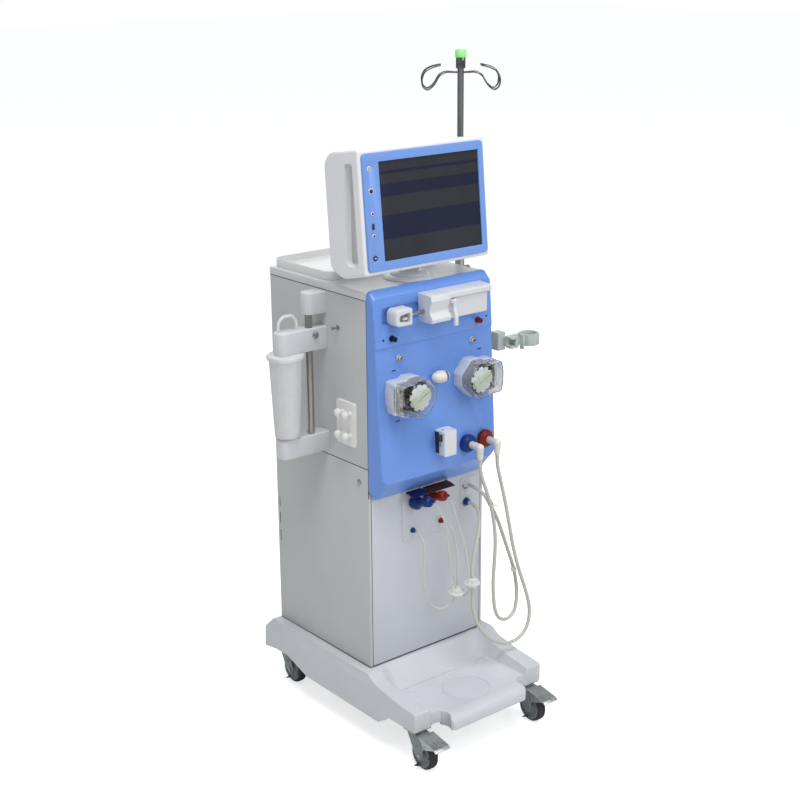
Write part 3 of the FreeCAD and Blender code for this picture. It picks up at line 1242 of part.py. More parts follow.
def main():
    save("base_moulding", base_moulding())
    save("base_frame", base_frame())
    names = ("front_left", "front_right", "rear_left", "rear_right")
    for name, (x, y) in zip(names, caster_places()):
        save("caster_fork_" + name, caster_fork(x, y, name.startswith("front")))
        save("caster_wheel_" + name, caster_wheel(x, y))
        if name.startswith("front"):
            save("brake_pedal_" + name[6:], brake_pedal(x, y))
    save("chassis_frame", chassis_frame())
    save("side_panels", side_panels())
    save("rear_panel", rear_panel())
    save("rear_fittings", rear_fittings())
    save("lower_front_panels", lower_front_panels())
    save("top_cover", top_cover())
    save("top_tray", top_tray())
    save("front_fascia", front_fascia())
    save("pump_housings", [pump_housing(-1), pump_housing(1)])
    save("pump_raceways", [pump_bed(-1), pump_bed(1)])
    for side, sign in (("left", -1), ("right", 1)):
        save("pump_rotor_" + side, pump_rotor(sign))
        save("pump_lid_" + side, pump_lid(sign))
    save("syringe_pump_body", syringe_pump_body())
    save("syringe_clamp", syringe_clamp())
    save("syringe_pusher", syringe_pusher())
    save("blue_fittings", [jack(-JACK_X, JACK_Z), collar(PORT_X[0]), small_port(-51, 537, 7, 12),
                           small_port(131, 570, 10, 12), wand(*WAND_FROM)])
    save("red_fittings", [jack(JACK_X, JACK_Z), collar(PORT_X[1]), small_port(43, 539, 7, 12),
                          wand(WAND_FROM[0] + WAND_PITCH, WAND_FROM[1] + 4.4)])
    save("white_fittings", [luer(-LUER_X, LUER_ZS[0]), luer(LUER_X, LUER_ZS[1]), elbow(PORT_X[0]), elbow(PORT_X[1]),
                            small_port(131, 618, 9, 12), chamber_clip()])
    save("flap_blue", flap(-81, -29))
    save("flap_red", flap(-25, 57))
    save("air_detector_body", air_detector_body())
    save("air_detector_door", air_detector_door())
    save("side_brackets", side_brackets())
    save("holder_rod", holder_rod())
    save("holder_upper_arm", holder_upper_arm())
    save("cartridge", cartridge())
    save("panel_fasteners", panel_fasteners())
    save("pole_sleeve", pole_sleeve())
    save("iv_pole", iv_pole())
    save("status_lamp", status_lamp())
    save("dialyser_arm", dialyser_arm())
    save("dialyser_jaw", dialyser_jaw())
    save("monitor_turntable", monitor_turntable())
    save("monitor_neck", monitor_neck())
    save("monitor_rear_cover", monitor_rear_cover())
    save("monitor_bezel", monitor_bezel())
    save("monitor_screen", monitor_screen())
    save("power_button", monitor_button(BUTTON_ZS[0]))
    save("start_button", monitor_button(BUTTON_ZS[1]))
    save("monitor_controls", monitor_controls())
    save("internal_modules", internal_modules())
    for name, (radius, points) in HOSES.items():
        route = hose_points(name)
        save(name, tube(route, radius))
        print(name, "bend radii", [round(r) for r in bends(route)])
    save("hose_fittings", [clamp(39, -151.5, 362, ["tube_blue", "tube_red"]),
                           clamp(71, -176, 388, ["hose_red", "tube_red"])])


main()
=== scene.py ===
import json
import math

import bmesh
import bpy
from mathutils import Matrix, Vector
from mathutils.bvhtree import BVHTree


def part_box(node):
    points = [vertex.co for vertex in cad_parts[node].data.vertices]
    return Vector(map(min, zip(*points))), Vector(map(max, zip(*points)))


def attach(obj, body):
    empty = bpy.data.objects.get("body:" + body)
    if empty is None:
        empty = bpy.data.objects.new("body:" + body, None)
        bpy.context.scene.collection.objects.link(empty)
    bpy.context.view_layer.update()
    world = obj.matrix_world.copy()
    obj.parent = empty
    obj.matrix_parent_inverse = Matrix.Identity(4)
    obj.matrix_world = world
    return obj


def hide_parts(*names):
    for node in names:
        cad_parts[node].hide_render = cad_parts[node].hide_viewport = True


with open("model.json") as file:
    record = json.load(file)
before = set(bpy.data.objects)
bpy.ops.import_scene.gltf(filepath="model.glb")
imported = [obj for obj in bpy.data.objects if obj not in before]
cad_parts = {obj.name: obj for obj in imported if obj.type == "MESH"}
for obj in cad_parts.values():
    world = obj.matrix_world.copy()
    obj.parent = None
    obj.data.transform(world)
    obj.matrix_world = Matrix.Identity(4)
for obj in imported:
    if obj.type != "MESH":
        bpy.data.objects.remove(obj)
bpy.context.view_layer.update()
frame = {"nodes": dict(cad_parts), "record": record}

BODY_OF = {}
for body_name, node_names in frame["record"]["behaviour"]["bodies"].items():
    for node_name in node_names:
        BODY_OF[node_name] = body_name
FRONT = -83.0          # front door face, millimetres behind the middle
LEAN = math.radians(5.4)   # how far the screen leans back
SCREEN_Y = FRONT - 14  # the screen leans about its own middle
SCREEN_Z = 1366.0
BUTTON_X = -183.0      # column of controls on the bezel
PUMP_X = 100.0         # rotor axes, left and right of the middle
PUMP_Z = {-1: 921.0, 1: 927.0}
HALF_CABINET = 190.0
CORNERS = ("front_left", "front_right", "rear_left", "rear_right")


# Camera at the photograph's place

def place_camera():
    data = bpy.data.cameras.new("view")
    data.lens = 66.79
    data.sensor_width = 36.0
    data.clip_end = 50.0
    camera = bpy.data.objects.new("view", data)
    bpy.context.scene.collection.objects.link(camera)
    yaw, pitch, roll = math.radians(39.433), math.radians(17.431), math.radians(-0.409)
    forward = Vector((math.sin(yaw) * math.cos(pitch), math.cos(yaw) * math.cos(pitch), -math.sin(pitch)))
    right = Vector((math.cos(yaw), -math.sin(yaw), 0))
    up = right.cross(forward)
    side = right * math.cos(roll) + up * math.sin(roll)
    top = up * math.cos(roll) - right * math.sin(roll)
    turn = Matrix((side, top, -forward)).transposed().to_4x4()
    camera.matrix_world = Matrix.Translation((-2.2966, -2.7690, 1.9824)) @ turn
    bpy.context.scene.camera = camera


place_camera()
bpy.context.scene.view_settings.view_transform = "Standard"


# Hoses and thin tubes, along the routes of the part

HOSE_ROUTES = {
    "hose_blue": [
        (88, -184, 721), (88, -184, 699), (97, -183, 668), (115, -181, 629), (133, -178, 586),
        (148, -175, 534), (155, -174, 480), (151, -175, 424), (145, -177, 372), (145, -179, 330),
        (149, -180, 290), (161, -182, 260), (190, -183, 247), (220, -181, 260), (232, -177, 291),
        (234, -173, 334), (226, -169, 384), (210, -163, 436), (194, -158, 486), (180, -156, 524),
        (166, -155, 553), (150, -152, 583), (138, -142, 608), (131, -121, 618), (131, -96.5, 618)],
    "hose_red": [
        (147, -184, 721), (147, -184, 697), (157, -185, 658), (171, -187, 603), (186, -189, 534),
        (201, -191, 458), (222, -193, 386), (248, -196, 318), (262, -199, 258), (248, -201, 208),
        (205, -202, 186), (152, -200, 196), (104, -196, 230), (74, -190, 280), (66, -183, 330),
        (74, -177, 380), (73, -173, 428), (90, -167, 474), (112, -157, 518), (127, -142, 554),
        (131, -121, 570), (131, -96.5, 570)],
    "tube_blue": [
        (-51, -96.5, 537), (-51, -112, 537), (-50, -124, 524), (-48, -129, 498), (-51, -130, 456),
        (-54, -130, 412), (-47, -131, 366), (-24, -133, 331), (6, -137, 318), (31, -145, 330),
        (39, -151, 356), (36, -154, 386), (20, -156, 424), (8, -158, 470), (2, -160, 519),
        (-6, -162, 565), (-21, -160, 600), (-36, -159, 622)],
    "tube_red": [
        (43, -96.5, 539), (43, -112, 539), (48, -123, 526), (57, -128, 499), (61, -130, 456),
        (58, -133, 412), (55, -137, 366), (58, -148, 348), (61, -164, 348), (64, -175, 366),
        (64, -175, 395), (61, -174, 430), (56, -171, 470), (46, -168, 515), (34, -165, 556),
        (22, -163, 596), (12, -160, 624)],
}


def soft_line(name, radius):
    """A hose on a smooth line through the part's route, thickened to its radius."""
    data = bpy.data.curves.new(name, "CURVE")
    data.dimensions = "3D"
    data.bevel_depth = 1.0
    data.bevel_resolution = 6
    data.resolution_u = 12
    data.use_fill_caps = True
    line = data.splines.new("NURBS")
    route = HOSE_ROUTES[name]
    line.points.add(len(route) - 1)
    for point, (x, y, z) in zip(line.points, route):
        point.co = (x / 1000, y / 1000, z / 1000, 1)
        point.radius = radius
    line.order_u = 3
    line.use_endpoint_u = True
    obj = bpy.data.objects.new(name + "_line", data)
    bpy.context.scene.collection.objects.link(obj)
    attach(obj, BODY_OF[name])
    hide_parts(name)
    return obj


# Materials

def frame_box(node):
    low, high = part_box(node)
    return list(low), list(high)


def new_finish(name):
    mat = bpy.data.materials.new(name)
    mat.use_nodes = True
    nodes = mat.node_tree.nodes
    nodes.clear()
    out = nodes.new("ShaderNodeOutputMaterial")
    shader = nodes.new("ShaderNodeBsdfPrincipled")
    mat.node_tree.links.new(shader.outputs["BSDF"], out.inputs["Surface"])
    place = nodes.new("ShaderNodeTexCoord")
    return mat, nodes, mat.node_tree.links, shader, place


def noise(nodes, links, place, scale, detail=3.0, stretch=None):
    tex = nodes.new("ShaderNodeTexNoise")
    tex.inputs["Scale"].default_value = scale
    tex.inputs["Detail"].default_value = detail
    if stretch:
        spread = nodes.new("ShaderNodeMapping")
        spread.inputs["Scale"].default_value = stretch
        links.new(place.outputs["Object"], spread.inputs["Vector"])
        links.new(spread.outputs["Vector"], tex.inputs["Vector"])
    else:
        links.new(place.outputs["Object"], tex.inputs["Vector"])
    return tex


def ramp(nodes, links, source, low, high, start=0.35, end=0.65):
    band = nodes.new("ShaderNodeValToRGB")
    band.color_ramp.elements[0].position = start
    band.color_ramp.elements[0].color = low
    band.color_ramp.elements[1].position = end
    band.color_ramp.elements[1].color = high
    links.new(source, band.inputs["Fac"])
    return band


def spread_value(nodes, links, source, low, high, start=0.3, end=0.7):
    scale = nodes.new("ShaderNodeMapRange")
    scale.inputs["From Min"].default_value = start
    scale.inputs["From Max"].default_value = end
    scale.inputs["To Min"].default_value = low
    scale.inputs["To Max"].default_value = high
    links.new(source, scale.inputs["Value"])
    return scale


def grain_bump(nodes, links, shader, height, strength, distance):
    bump = nodes.new("ShaderNodeBump")
    bump.inputs["Strength"].default_value = strength
    bump.inputs["Distance"].default_value = distance
    links.new(height, bump.inputs["Height"])
    links.new(bump.outputs["Normal"], shader.inputs["Normal"])


def moulded(name, colour, rough=0.38, grain=700.0, depth=0.08, shade=0.965, coat=0.0, wear=0.0, shine=0.5):
    """Moulded plastic or powder coat: slow drift of shade, fine grain in gloss and bump, faint scuffs."""
    mat, nodes, links, shader, place = new_finish(name)
    drift = noise(nodes, links, place, 7.0, 4.0)
    low = tuple(c * shade for c in colour) + (1,)
    tone = ramp(nodes, links, drift.outputs["Fac"], low, tuple(colour) + (1,))
    links.new(tone.outputs["Color"], shader.inputs["Base Color"])
    if wear:
        scuff = noise(nodes, links, place, 46.0, 6.0, (1, 1, 0.25))
        worn = (1 - wear, 1 - wear, 1 - wear * 1.2, 1)
        marks = ramp(nodes, links, scuff.outputs["Fac"], (1, 1, 1, 1), worn, 0.62, 0.78)
        both = nodes.new("ShaderNodeMix")
        both.data_type = "RGBA"
        both.blend_type = "MULTIPLY"
        both.inputs["Factor"].default_value = 1.0
        links.new(tone.outputs["Color"], both.inputs["A"])
        links.new(marks.outputs["Color"], both.inputs["B"])
        links.new(both.outputs["Result"], shader.inputs["Base Color"])
    fine = noise(nodes, links, place, grain, 2.0)
    gloss = spread_value(nodes, links, fine.outputs["Fac"], rough * 0.88, rough * 1.12)
    links.new(gloss.outputs["Result"], shader.inputs["Roughness"])
    grain_bump(nodes, links, shader, fine.outputs["Fac"], depth, 0.0004)
    shader.inputs["Specular IOR Level"].default_value = shine
    if coat:
        shader.inputs["Coat Weight"].default_value = coat
        shader.inputs["Coat Roughness"].default_value = 0.12
    return mat


def metal(name, colour, rough, stretch, depth=0.05, low=0.86):
    """Drawn, rolled or plated metal with marks along one way."""
    mat, nodes, links, shader, place = new_finish(name)
    shader.inputs["Metallic"].default_value = 1.0
    marks = noise(nodes, links, place, 220.0, 4.0, stretch)
    tone = ramp(nodes, links, marks.outputs["Fac"], tuple(c * low for c in colour) + (1,), tuple(colour) + (1,))
    links.new(tone.outputs["Color"], shader.inputs["Base Color"])
    gloss = spread_value(nodes, links, marks.outputs["Fac"], rough * 0.75, rough * 1.3)
    links.new(gloss.outputs["Result"], shader.inputs["Roughness"])
    grain_bump(nodes, links, shader, marks.outputs["Fac"], depth, 0.0002)
    return mat


def see_through(name, colour, rough, clearness, ior=1.45):
    """Clear, frosted or milky plastic with faint haze."""
    mat, nodes, links, shader, place = new_finish(name)
    shader.inputs["Transmission Weight"].default_value = clearness
    shader.inputs["IOR"].default_value = ior
    haze = noise(nodes, links, place, 60.0, 3.0)
    tone = ramp(nodes, links, haze.outputs["Fac"], tuple(c * 0.96 for c in colour) + (1,), tuple(colour) + (1,))
    links.new(tone.outputs["Color"], shader.inputs["Base Color"])
    gloss = spread_value(nodes, links, haze.outputs["Fac"], rough * 0.8, rough * 1.2)
    links.new(gloss.outputs["Result"], shader.inputs["Roughness"])
    grain_bump(nodes, links, shader, haze.outputs["Fac"], 0.05, 0.0003)
    return mat


def leaned(x, y, z):
    """A point given on the upright monitor, moved to the leaning one, in metres."""
    dy, dz = y - SCREEN_Y, z - SCREEN_Z
    cos, sin = math.cos(-LEAN), math.sin(-LEAN)
    return Vector((x, SCREEN_Y + dy * cos - dz * sin, SCREEN_Z + dy * sin + dz * cos)) / 1000


def ringed(name, centre, bands, rough=0.3):
    """Rings of colour round one centre: bands are (radius in mm, colour) from the middle out."""
    mat, nodes, links, shader, place = new_finish(name)
    away = nodes.new("ShaderNodeVectorMath")
    away.operation = "DISTANCE"
    away.inputs[1].default_value = centre
    links.new(place.outputs["Object"], away.inputs[0])
    reach = 0.020
    share = spread_value(nodes, links, away.outputs["Value"], 0.0, 1.0, 0.0, reach)
    rings = nodes.new("ShaderNodeValToRGB")
    rings.color_ramp.interpolation = "CONSTANT"
    edge = 0.0
    for index, (radius, colour) in enumerate(bands):
        if index < 2:
            stop = rings.color_ramp.elements[index]
            stop.position = edge
        else:
            stop = rings.color_ramp.elements.new(edge)
        stop.color = tuple(colour) + (1,)
        edge = radius / 1000 / reach
    links.new(share.outputs["Result"], rings.inputs["Fac"])
    links.new(rings.outputs["Color"], shader.inputs["Base Color"])
    fine = noise(nodes, links, place, 600.0, 2.0)
    gloss = spread_value(nodes, links, fine.outputs["Fac"], rough * 0.85, rough * 1.15)
    links.new(gloss.outputs["Result"], shader.inputs["Roughness"])
    return mat


WHITE = (0.80, 0.81, 0.82)
NAVY = (0.010, 0.022, 0.120)
FASCIA = (0.155, 0.320, 0.800)

FINISH = {
    # One powder coat in three painted values: side and rear sheets darker as painted shade, front doors in between,
    # top cover lightest as painted light
    "coat": moulded("coat_painted_side_shade", (0.56, 0.575, 0.57), 0.42, 900.0, 0.10, 0.97, 0.0, 0.03),
    "door": moulded("coat_painted_front_light", (0.60, 0.62, 0.66), 0.40, 900.0, 0.10, 0.97, 0.0, 0.03),
    "cover": moulded("coat_painted_top_light", (0.70, 0.71, 0.71), 0.42, 900.0, 0.10, 0.97, 0.0, 0.02),
    "white": moulded("white_moulding", (0.72, 0.73, 0.75), 0.34, 650.0, 0.06),
    "monitor": moulded("monitor_white", (0.88, 0.89, 0.90), 0.36, 650.0, 0.06),
    "pump": moulded("pump_white", (0.62, 0.65, 0.70), 0.30, 500.0, 0.05, 0.96, 0.2),
    "base": moulded("base_moulding", (0.64, 0.66, 0.69), 0.40, 420.0, 0.14, 0.96, 0.0, 0.05),
    "tray": moulded("tray_white", (0.80, 0.80, 0.79), 0.35, 500.0, 0.06),
    "peg": moulded("peg_white", (0.86, 0.86, 0.82), 0.40, 500.0, 0.06),
    "blue": moulded("fascia_blue", FASCIA, 0.34, 700.0, 0.06, 0.96, 0.15),
    "bezel": moulded("bezel_blue", (0.185, 0.350, 0.790), 0.33, 700.0, 0.05, 0.97, 0.15),
    "deep": moulded("port_blue", (0.003, 0.036, 0.190), 0.34, 500.0, 0.05, 0.85, shine=0.3),
    # Navy: the jack's colour, and painted shade on the blue flap's top and back faces
    "navy": moulded("navy_jack_and_flap_shade", (0.004, 0.012, 0.060), 0.40, 500.0, 0.05, 0.85, shine=0.25),
    "red": moulded("port_red", (0.235, 0.018, 0.010), 0.34, 500.0, 0.05, 0.85, shine=0.3),
    # Painted shade on the red flap's top and back faces
    "flap_top_shade": moulded("flap_top_shade_brown", (0.042, 0.012, 0.009), 0.40, 500.0, 0.05, 0.85, shine=0.25),
    "cream": moulded("elbow_cream", (0.78, 0.76, 0.68), 0.33, 500.0, 0.05),
    "olive": moulded("clip_olive", (0.30, 0.31, 0.17), 0.40, 500.0, 0.05),
    "rust": moulded("luer_core", (0.25, 0.15, 0.10), 0.45, 500.0, 0.05),
    # Dark plastic for real dark parts, also used as painted shade in notches, slots and vent openings
    "dark": moulded("dark_plastic_and_painted_shade", (0.022, 0.024, 0.028), 0.42, 500.0, 0.10, 0.8),
    # Grey painted shade for recesses, grooves and the seats under the niche ports
    "shade": moulded("painted_recess_shade", (0.30, 0.31, 0.29), 0.45, 500.0, 0.08, 0.9),
    "hub": moulded("hub_grey", (0.20, 0.225, 0.240), 0.42, 500.0, 0.12, 0.85),
    "tyre": moulded("tyre_rubber", (0.030, 0.030, 0.033), 0.60, 350.0, 0.25, 0.75),
    "rotor": moulded("rotor_green_grey", (0.56, 0.62, 0.50), 0.36, 500.0, 0.08),
    "clamp": moulded("clamp_grey_green", (0.50, 0.55, 0.50), 0.38, 500.0, 0.08),
    "milky": see_through("milky_clamp", (0.90, 0.90, 0.88), 0.40, 0.25),
    "steel": metal("ground_steel", (0.42, 0.40, 0.37), 0.22, (1, 1, 0.04)),
    "zinc": metal("zinc_sheet", (0.55, 0.58, 0.57), 0.40, (1, 0.2, 1), 0.08),
    "fork": moulded("fork_grey", (0.235, 0.265, 0.275), 0.36, 500.0, 0.12, 0.85, 0.2),
    "plate": metal("frame_steel", (0.46, 0.46, 0.45), 0.38, (0.06, 1, 1)),
    # Pole chrome with its base colour darkened: painted reflection of dark surroundings
    "chrome": metal("pole_chrome_painted_dark", (0.20, 0.20, 0.20), 0.10, (1, 1, 0.05), 0.01),
    "bright": metal("bright_chrome", (0.42, 0.41, 0.40), 0.12, (1, 1, 0.05), 0.01),
    "race": metal("raceway_metal", (0.26, 0.25, 0.25), 0.28, (1, 0.08, 1)),
    "disc": moulded("rotor_disc", (0.66, 0.68, 0.69), 0.26, 500.0, 0.04, 0.93, 0.3),
    "clip": moulded("tie_grey", (0.60, 0.61, 0.56), 0.34, 500.0, 0.05),
    # Painted shadow for the seams between panels
    "seam_shadow": moulded("painted_seam_shadow", (0.035, 0.038, 0.045), 0.60, 500.0, 0.05, 0.9),
    "wall": see_through("lid_wall", (0.95, 0.96, 0.97), 0.10, 0.86, 1.22),
    "clear": see_through("clear_lid", (0.97, 0.98, 0.98), 0.03, 1.0, 1.22),
    "frost": see_through("frosted_cup", (0.93, 0.94, 0.94), 0.50, 0.35, 1.35),
    "hose": moulded("hose_silicone", (0.56, 0.57, 0.50), 0.28, 300.0, 0.03, 0.95, 0.3),
    "thin": moulded("thin_tube", (0.62, 0.63, 0.56), 0.24, 300.0, 0.03, 0.95, 0.3),
}


def display_glass():
    """Dark display with faint wide bands of painted reflection across it, grey and navy by height."""
    mat, nodes, links, shader, place = new_finish("display_glass")
    parts = nodes.new("ShaderNodeSeparateXYZ")
    links.new(place.outputs["Object"], parts.inputs["Vector"])
    low, high = frame_box("monitor_screen")
    share = spread_value(nodes, links, parts.outputs["Z"], 0.0, 1.0, low[2], high[2])
    # Grey and navy bands by height: painted reflection on the dark glass
    bands = nodes.new("ShaderNodeValToRGB")
    grey, navy = (0.030, 0.033, 0.040, 1), (0.014, 0.016, 0.042, 1)
    reflection_stops = [(0.0, grey), (0.215, grey), (0.225, navy), (0.455, navy), (0.465, grey), (0.640, grey), (0.650, navy),
             (0.765, navy), (0.775, grey), (0.865, grey), (0.872, navy), (0.895, navy), (0.905, grey), (1.0, grey)]
    for index, (position, colour) in enumerate(reflection_stops):
        stop = bands.color_ramp.elements[index] if index < 2 else bands.color_ramp.elements.new(position)
        stop.position = position
        stop.color = colour
    links.new(share.outputs["Result"], bands.inputs["Fac"])
    haze = noise(nodes, links, place, 9.0, 3.0, (1, 1, 0.3))
    veil = ramp(nodes, links, haze.outputs["Fac"], (0.85, 0.85, 0.85, 1), (1.15, 1.15, 1.15, 1))
    both = nodes.new("ShaderNodeMix")
    both.data_type = "RGBA"
    both.blend_type = "MULTIPLY"
    both.inputs["Factor"].default_value = 1.0
    links.new(bands.outputs["Color"], both.inputs["A"])
    links.new(veil.outputs["Color"], both.inputs["B"])
    links.new(both.outputs["Result"], shader.inputs["Base Color"])
    shader.inputs["Roughness"].default_value = 0.22
    shader.inputs["Specular IOR Level"].default_value = 0.3
    return mat


def lamp_glow():
    """Green lamp cap, paler at the top and brighter in its lower band."""
    mat, nodes, links, shader, place = new_finish("lamp_green")
    parts = nodes.new("ShaderNodeSeparateXYZ")
    links.new(place.outputs["Object"], parts.inputs["Vector"])
    low, high = frame_box("status_lamp")
    tone = nodes.new("ShaderNodeMapRange")
    tone.inputs["From Min"].default_value = low[2]
    tone.inputs["From Max"].default_value = high[2]
    links.new(parts.outputs["Z"], tone.inputs["Value"])
    haze = noise(nodes, links, place, 90.0, 3.0)
    mixed = nodes.new("ShaderNodeMath")
    mixed.operation = "MULTIPLY_ADD"
    mixed.inputs[1].default_value = 0.12
    links.new(haze.outputs["Fac"], mixed.inputs[0])
    links.new(tone.outputs["Result"], mixed.inputs[2])
    green = ramp(nodes, links, mixed.outputs["Value"], (0.22, 0.95, 0.16, 1), (0.50, 0.86, 0.42, 1), 0.22, 0.50)
    links.new(green.outputs["Color"], shader.inputs["Base Color"])
    shader.inputs["Roughness"].default_value = 0.25
    shader.inputs["Transmission Weight"].default_value = 0.15
    shader.inputs["Emission Strength"].default_value = 0.12
    shader.inputs["Emission Color"].default_value = (0.30, 1.0, 0.22, 1)
    return mat


FINISH["screen"] = display_glass()
FINISH["lamp"] = lamp_glow()


def bezel_place(z):
    """Front of a control on the bezel, z mm above the screen's middle."""
    return leaned(BUTTON_X, SCREEN_Y - 6, SCREEN_Z + z)


FINISH["power_ring"] = ringed("power_ring", bezel_place(102), [(1.6, NAVY), (3.0, WHITE), (4.4, NAVY), (20, WHITE)])
FINISH["start_ring"] = ringed("start_ring", bezel_place(-105), [(2.2, WHITE), (20, NAVY)])
FINISH["key_ring"] = ringed("key_ring", bezel_place(51), [(1.4, (0.05, 0.10, 0.45)), (5.6, NAVY), (20, WHITE)])
FINISH["jack_ring_high"] = ringed("jack_ring_high", bezel_place(-1), [(1.5, WHITE), (3.4, NAVY), (20, WHITE)])
FINISH["jack_ring_low"] = ringed("jack_ring_low", bezel_place(-53), [(1.5, WHITE), (3.4, NAVY), (20, WHITE)])


# Pieces carried over from the solids, with their edges rounded and each surface in its own finish

NODE_FINISH = {
    "base_moulding": ("base", 0.0030), "base_frame": ("plate", 0.0008), "chassis_frame": ("plate", 0),
    "side_panels": ("coat", 0.0010), "rear_panel": ("coat", 0.0004), "rear_fittings": ("dark", 0.0005),
    "lower_front_panels": ("door", 0.0006), "top_cover": ("cover", 0.001), "top_tray": ("tray", 0.0012),
    "front_fascia": ("blue", 0.0010), "pump_housings": ("pump", 0.0014), "pump_raceways": ("race", 0.0006),
    "syringe_pump_body": ("white", 0.0015), "syringe_clamp": ("white", 0.001), "syringe_pusher": ("white", 0.0012),
    "blue_fittings": ("deep", 0.0005), "red_fittings": ("red", 0.0005), "white_fittings": ("cream", 0.0005),
    "flap_blue": ("deep", 0.0004), "flap_red": ("red", 0.0004), "air_detector_body": ("white", 0.001),
    "air_detector_door": ("white", 0.0012), "side_brackets": ("white", 0.0015), "holder_rod": ("steel", 0.0003),
    "holder_upper_arm": ("white", 0.0015), "cartridge": ("frost", 0.0006), "panel_fasteners": ("steel", 0.0004),
    "pole_sleeve": ("plate", 0.0008), "iv_pole": ("chrome", 0.0003), "status_lamp": ("lamp", 0.0008),
    "dialyser_arm": ("clamp", 0.0008), "dialyser_jaw": ("clamp", 0.0008), "monitor_turntable": ("monitor", 0.001),
    "monitor_neck": ("monitor", 0.0012), "monitor_rear_cover": ("monitor", 0.0022),
    "monitor_bezel": ("bezel", 0.0006), "monitor_screen": ("screen", 0), "monitor_controls": ("dark", 0.0003),
    "power_button": ("power_ring", 0.0004), "start_button": ("start_ring", 0.0004),
    "internal_modules": ("dark", 0), "hose_fittings": ("milky", 0.0005),
    "pump_rotor_left": ("rotor", 0.0006), "pump_rotor_right": ("rotor", 0.0006),
    "pump_lid_left": ("clear", 0.0006), "pump_lid_right": ("clear", 0.0006),
    "brake_pedal_left": ("zinc", 0.0006), "brake_pedal_right": ("zinc", 0.0006),
}
for corner in CORNERS:
    NODE_FINISH["caster_fork_" + corner] = ("fork", 0.0008)
    NODE_FINISH["caster_wheel_" + corner] = ("tyre", 0.0005)


def from_axis(a, b, a0, b0):
    return math.hypot(a - a0, b - b0)


def zones_of(node):
    """Finishes that differ on parts of one solid: (finish, test of a face's middle in mm and its normal)."""
    low, high = frame_box(node)
    mid = [(a + b) * 500 for a, b in zip(low, high)]
    if node.startswith("caster_wheel"):
        return [("hub", lambda c, n: from_axis(c.y, c.z, mid[1], mid[2]) < 27.6)]
    if node.startswith("pump_rotor"):
        side = -1 if "left" in node else 1
        x0, z0 = side * PUMP_X, PUMP_Z[side]
        return [("race", lambda c, n: c.y > FRONT - 83.7),
                # Side walls of the ring's notches in the dark finish: painted shade in the notches
                ("dark", lambda c, n: c.y > FRONT - 91.7 and from_axis(c.x, c.z, x0, z0) > 29.5
                 and abs(n.y) < 0.6),
                ("disc", lambda c, n: c.y > FRONT - 92.6)]
    if node.startswith("pump_lid"):
        return [("wall", lambda c, n: abs(n.y) < 0.5)]
    if node == "syringe_pusher":
        return [("bright", lambda c, n: c.x > -99.6 and from_axis(c.y, c.z, FRONT - 46, 1117) < 5.8),
                # Track recess in painted shade
                ("shade", lambda c, n: -142 < c.x < -107 and 1103 < c.z < 1129
                 and FRONT - 56 < c.y < FRONT - 53.5)]
    if node == "white_fittings":
        return [("rust", lambda c, n: c.z > 1000 and from_axis(abs(c.x), c.z, 118, 1013.2) < 3.0
                 and c.y < FRONT - 35),
                ("olive", lambda c, n: 925 < c.z < 966 and 6.5 < c.x < 16.5 and (abs(n.x) > 0.75 or n.y < -0.9)
                 and c.y > FRONT - 66)]
    if node == "blue_fittings":
        return [("navy", lambda c, n: c.z > 1040)]
    if node in ("flap_blue", "flap_red"):
        dark = "navy" if node == "flap_blue" else "flap_top_shade"
        # Top and back faces of the flaps in a darker colour: painted shade under the fascia's chin
        return [(dark, lambda c, n: n.z > 0.3 or n.y > 0.3)]
    if node == "holder_upper_arm":
        return [("milky", lambda c, n: c.z > 1066.3),
                ("bright", lambda c, n: c.y < FRONT + 156.8 and abs(c.x + 226) < 9)]
    if node == "side_brackets":
        return [("peg", lambda c, n: c.y < FRONT + 130)]
    if node == "air_detector_body":
        # Slot walls in the dark finish and channel side walls in grey: painted shade in the recesses
        return [("dark", lambda c, n: 768 < c.z < 786 and c.y < FRONT - 50 and abs(n.y) < 0.9),
                ("shade", lambda c, n: abs(n.x) > 0.8 and -13.5 < c.x < 30 and c.y < FRONT - 50)]
    if node == "air_detector_door":
        return [("dark", lambda c, n: c.x < -14.5)]
    if node == "monitor_controls":
        return [("key_ring", lambda c, n: c.z > SCREEN_Z + 30),
                ("jack_ring_high", lambda c, n: c.z > SCREEN_Z - 15),
                ("dark", lambda c, n: c.z > SCREEN_Z - 44),
                ("jack_ring_low", lambda c, n: True)]
    return []


def link(obj):
    bpy.context.scene.collection.objects.link(obj)
    return obj


def shade(bm, angle=35):
    for face in bm.faces:
        face.smooth = True
    for edge in bm.edges:
        bent = len(edge.link_faces) == 2 and edge.calc_face_angle(0.0) > math.radians(angle)
        edge.smooth = not bent


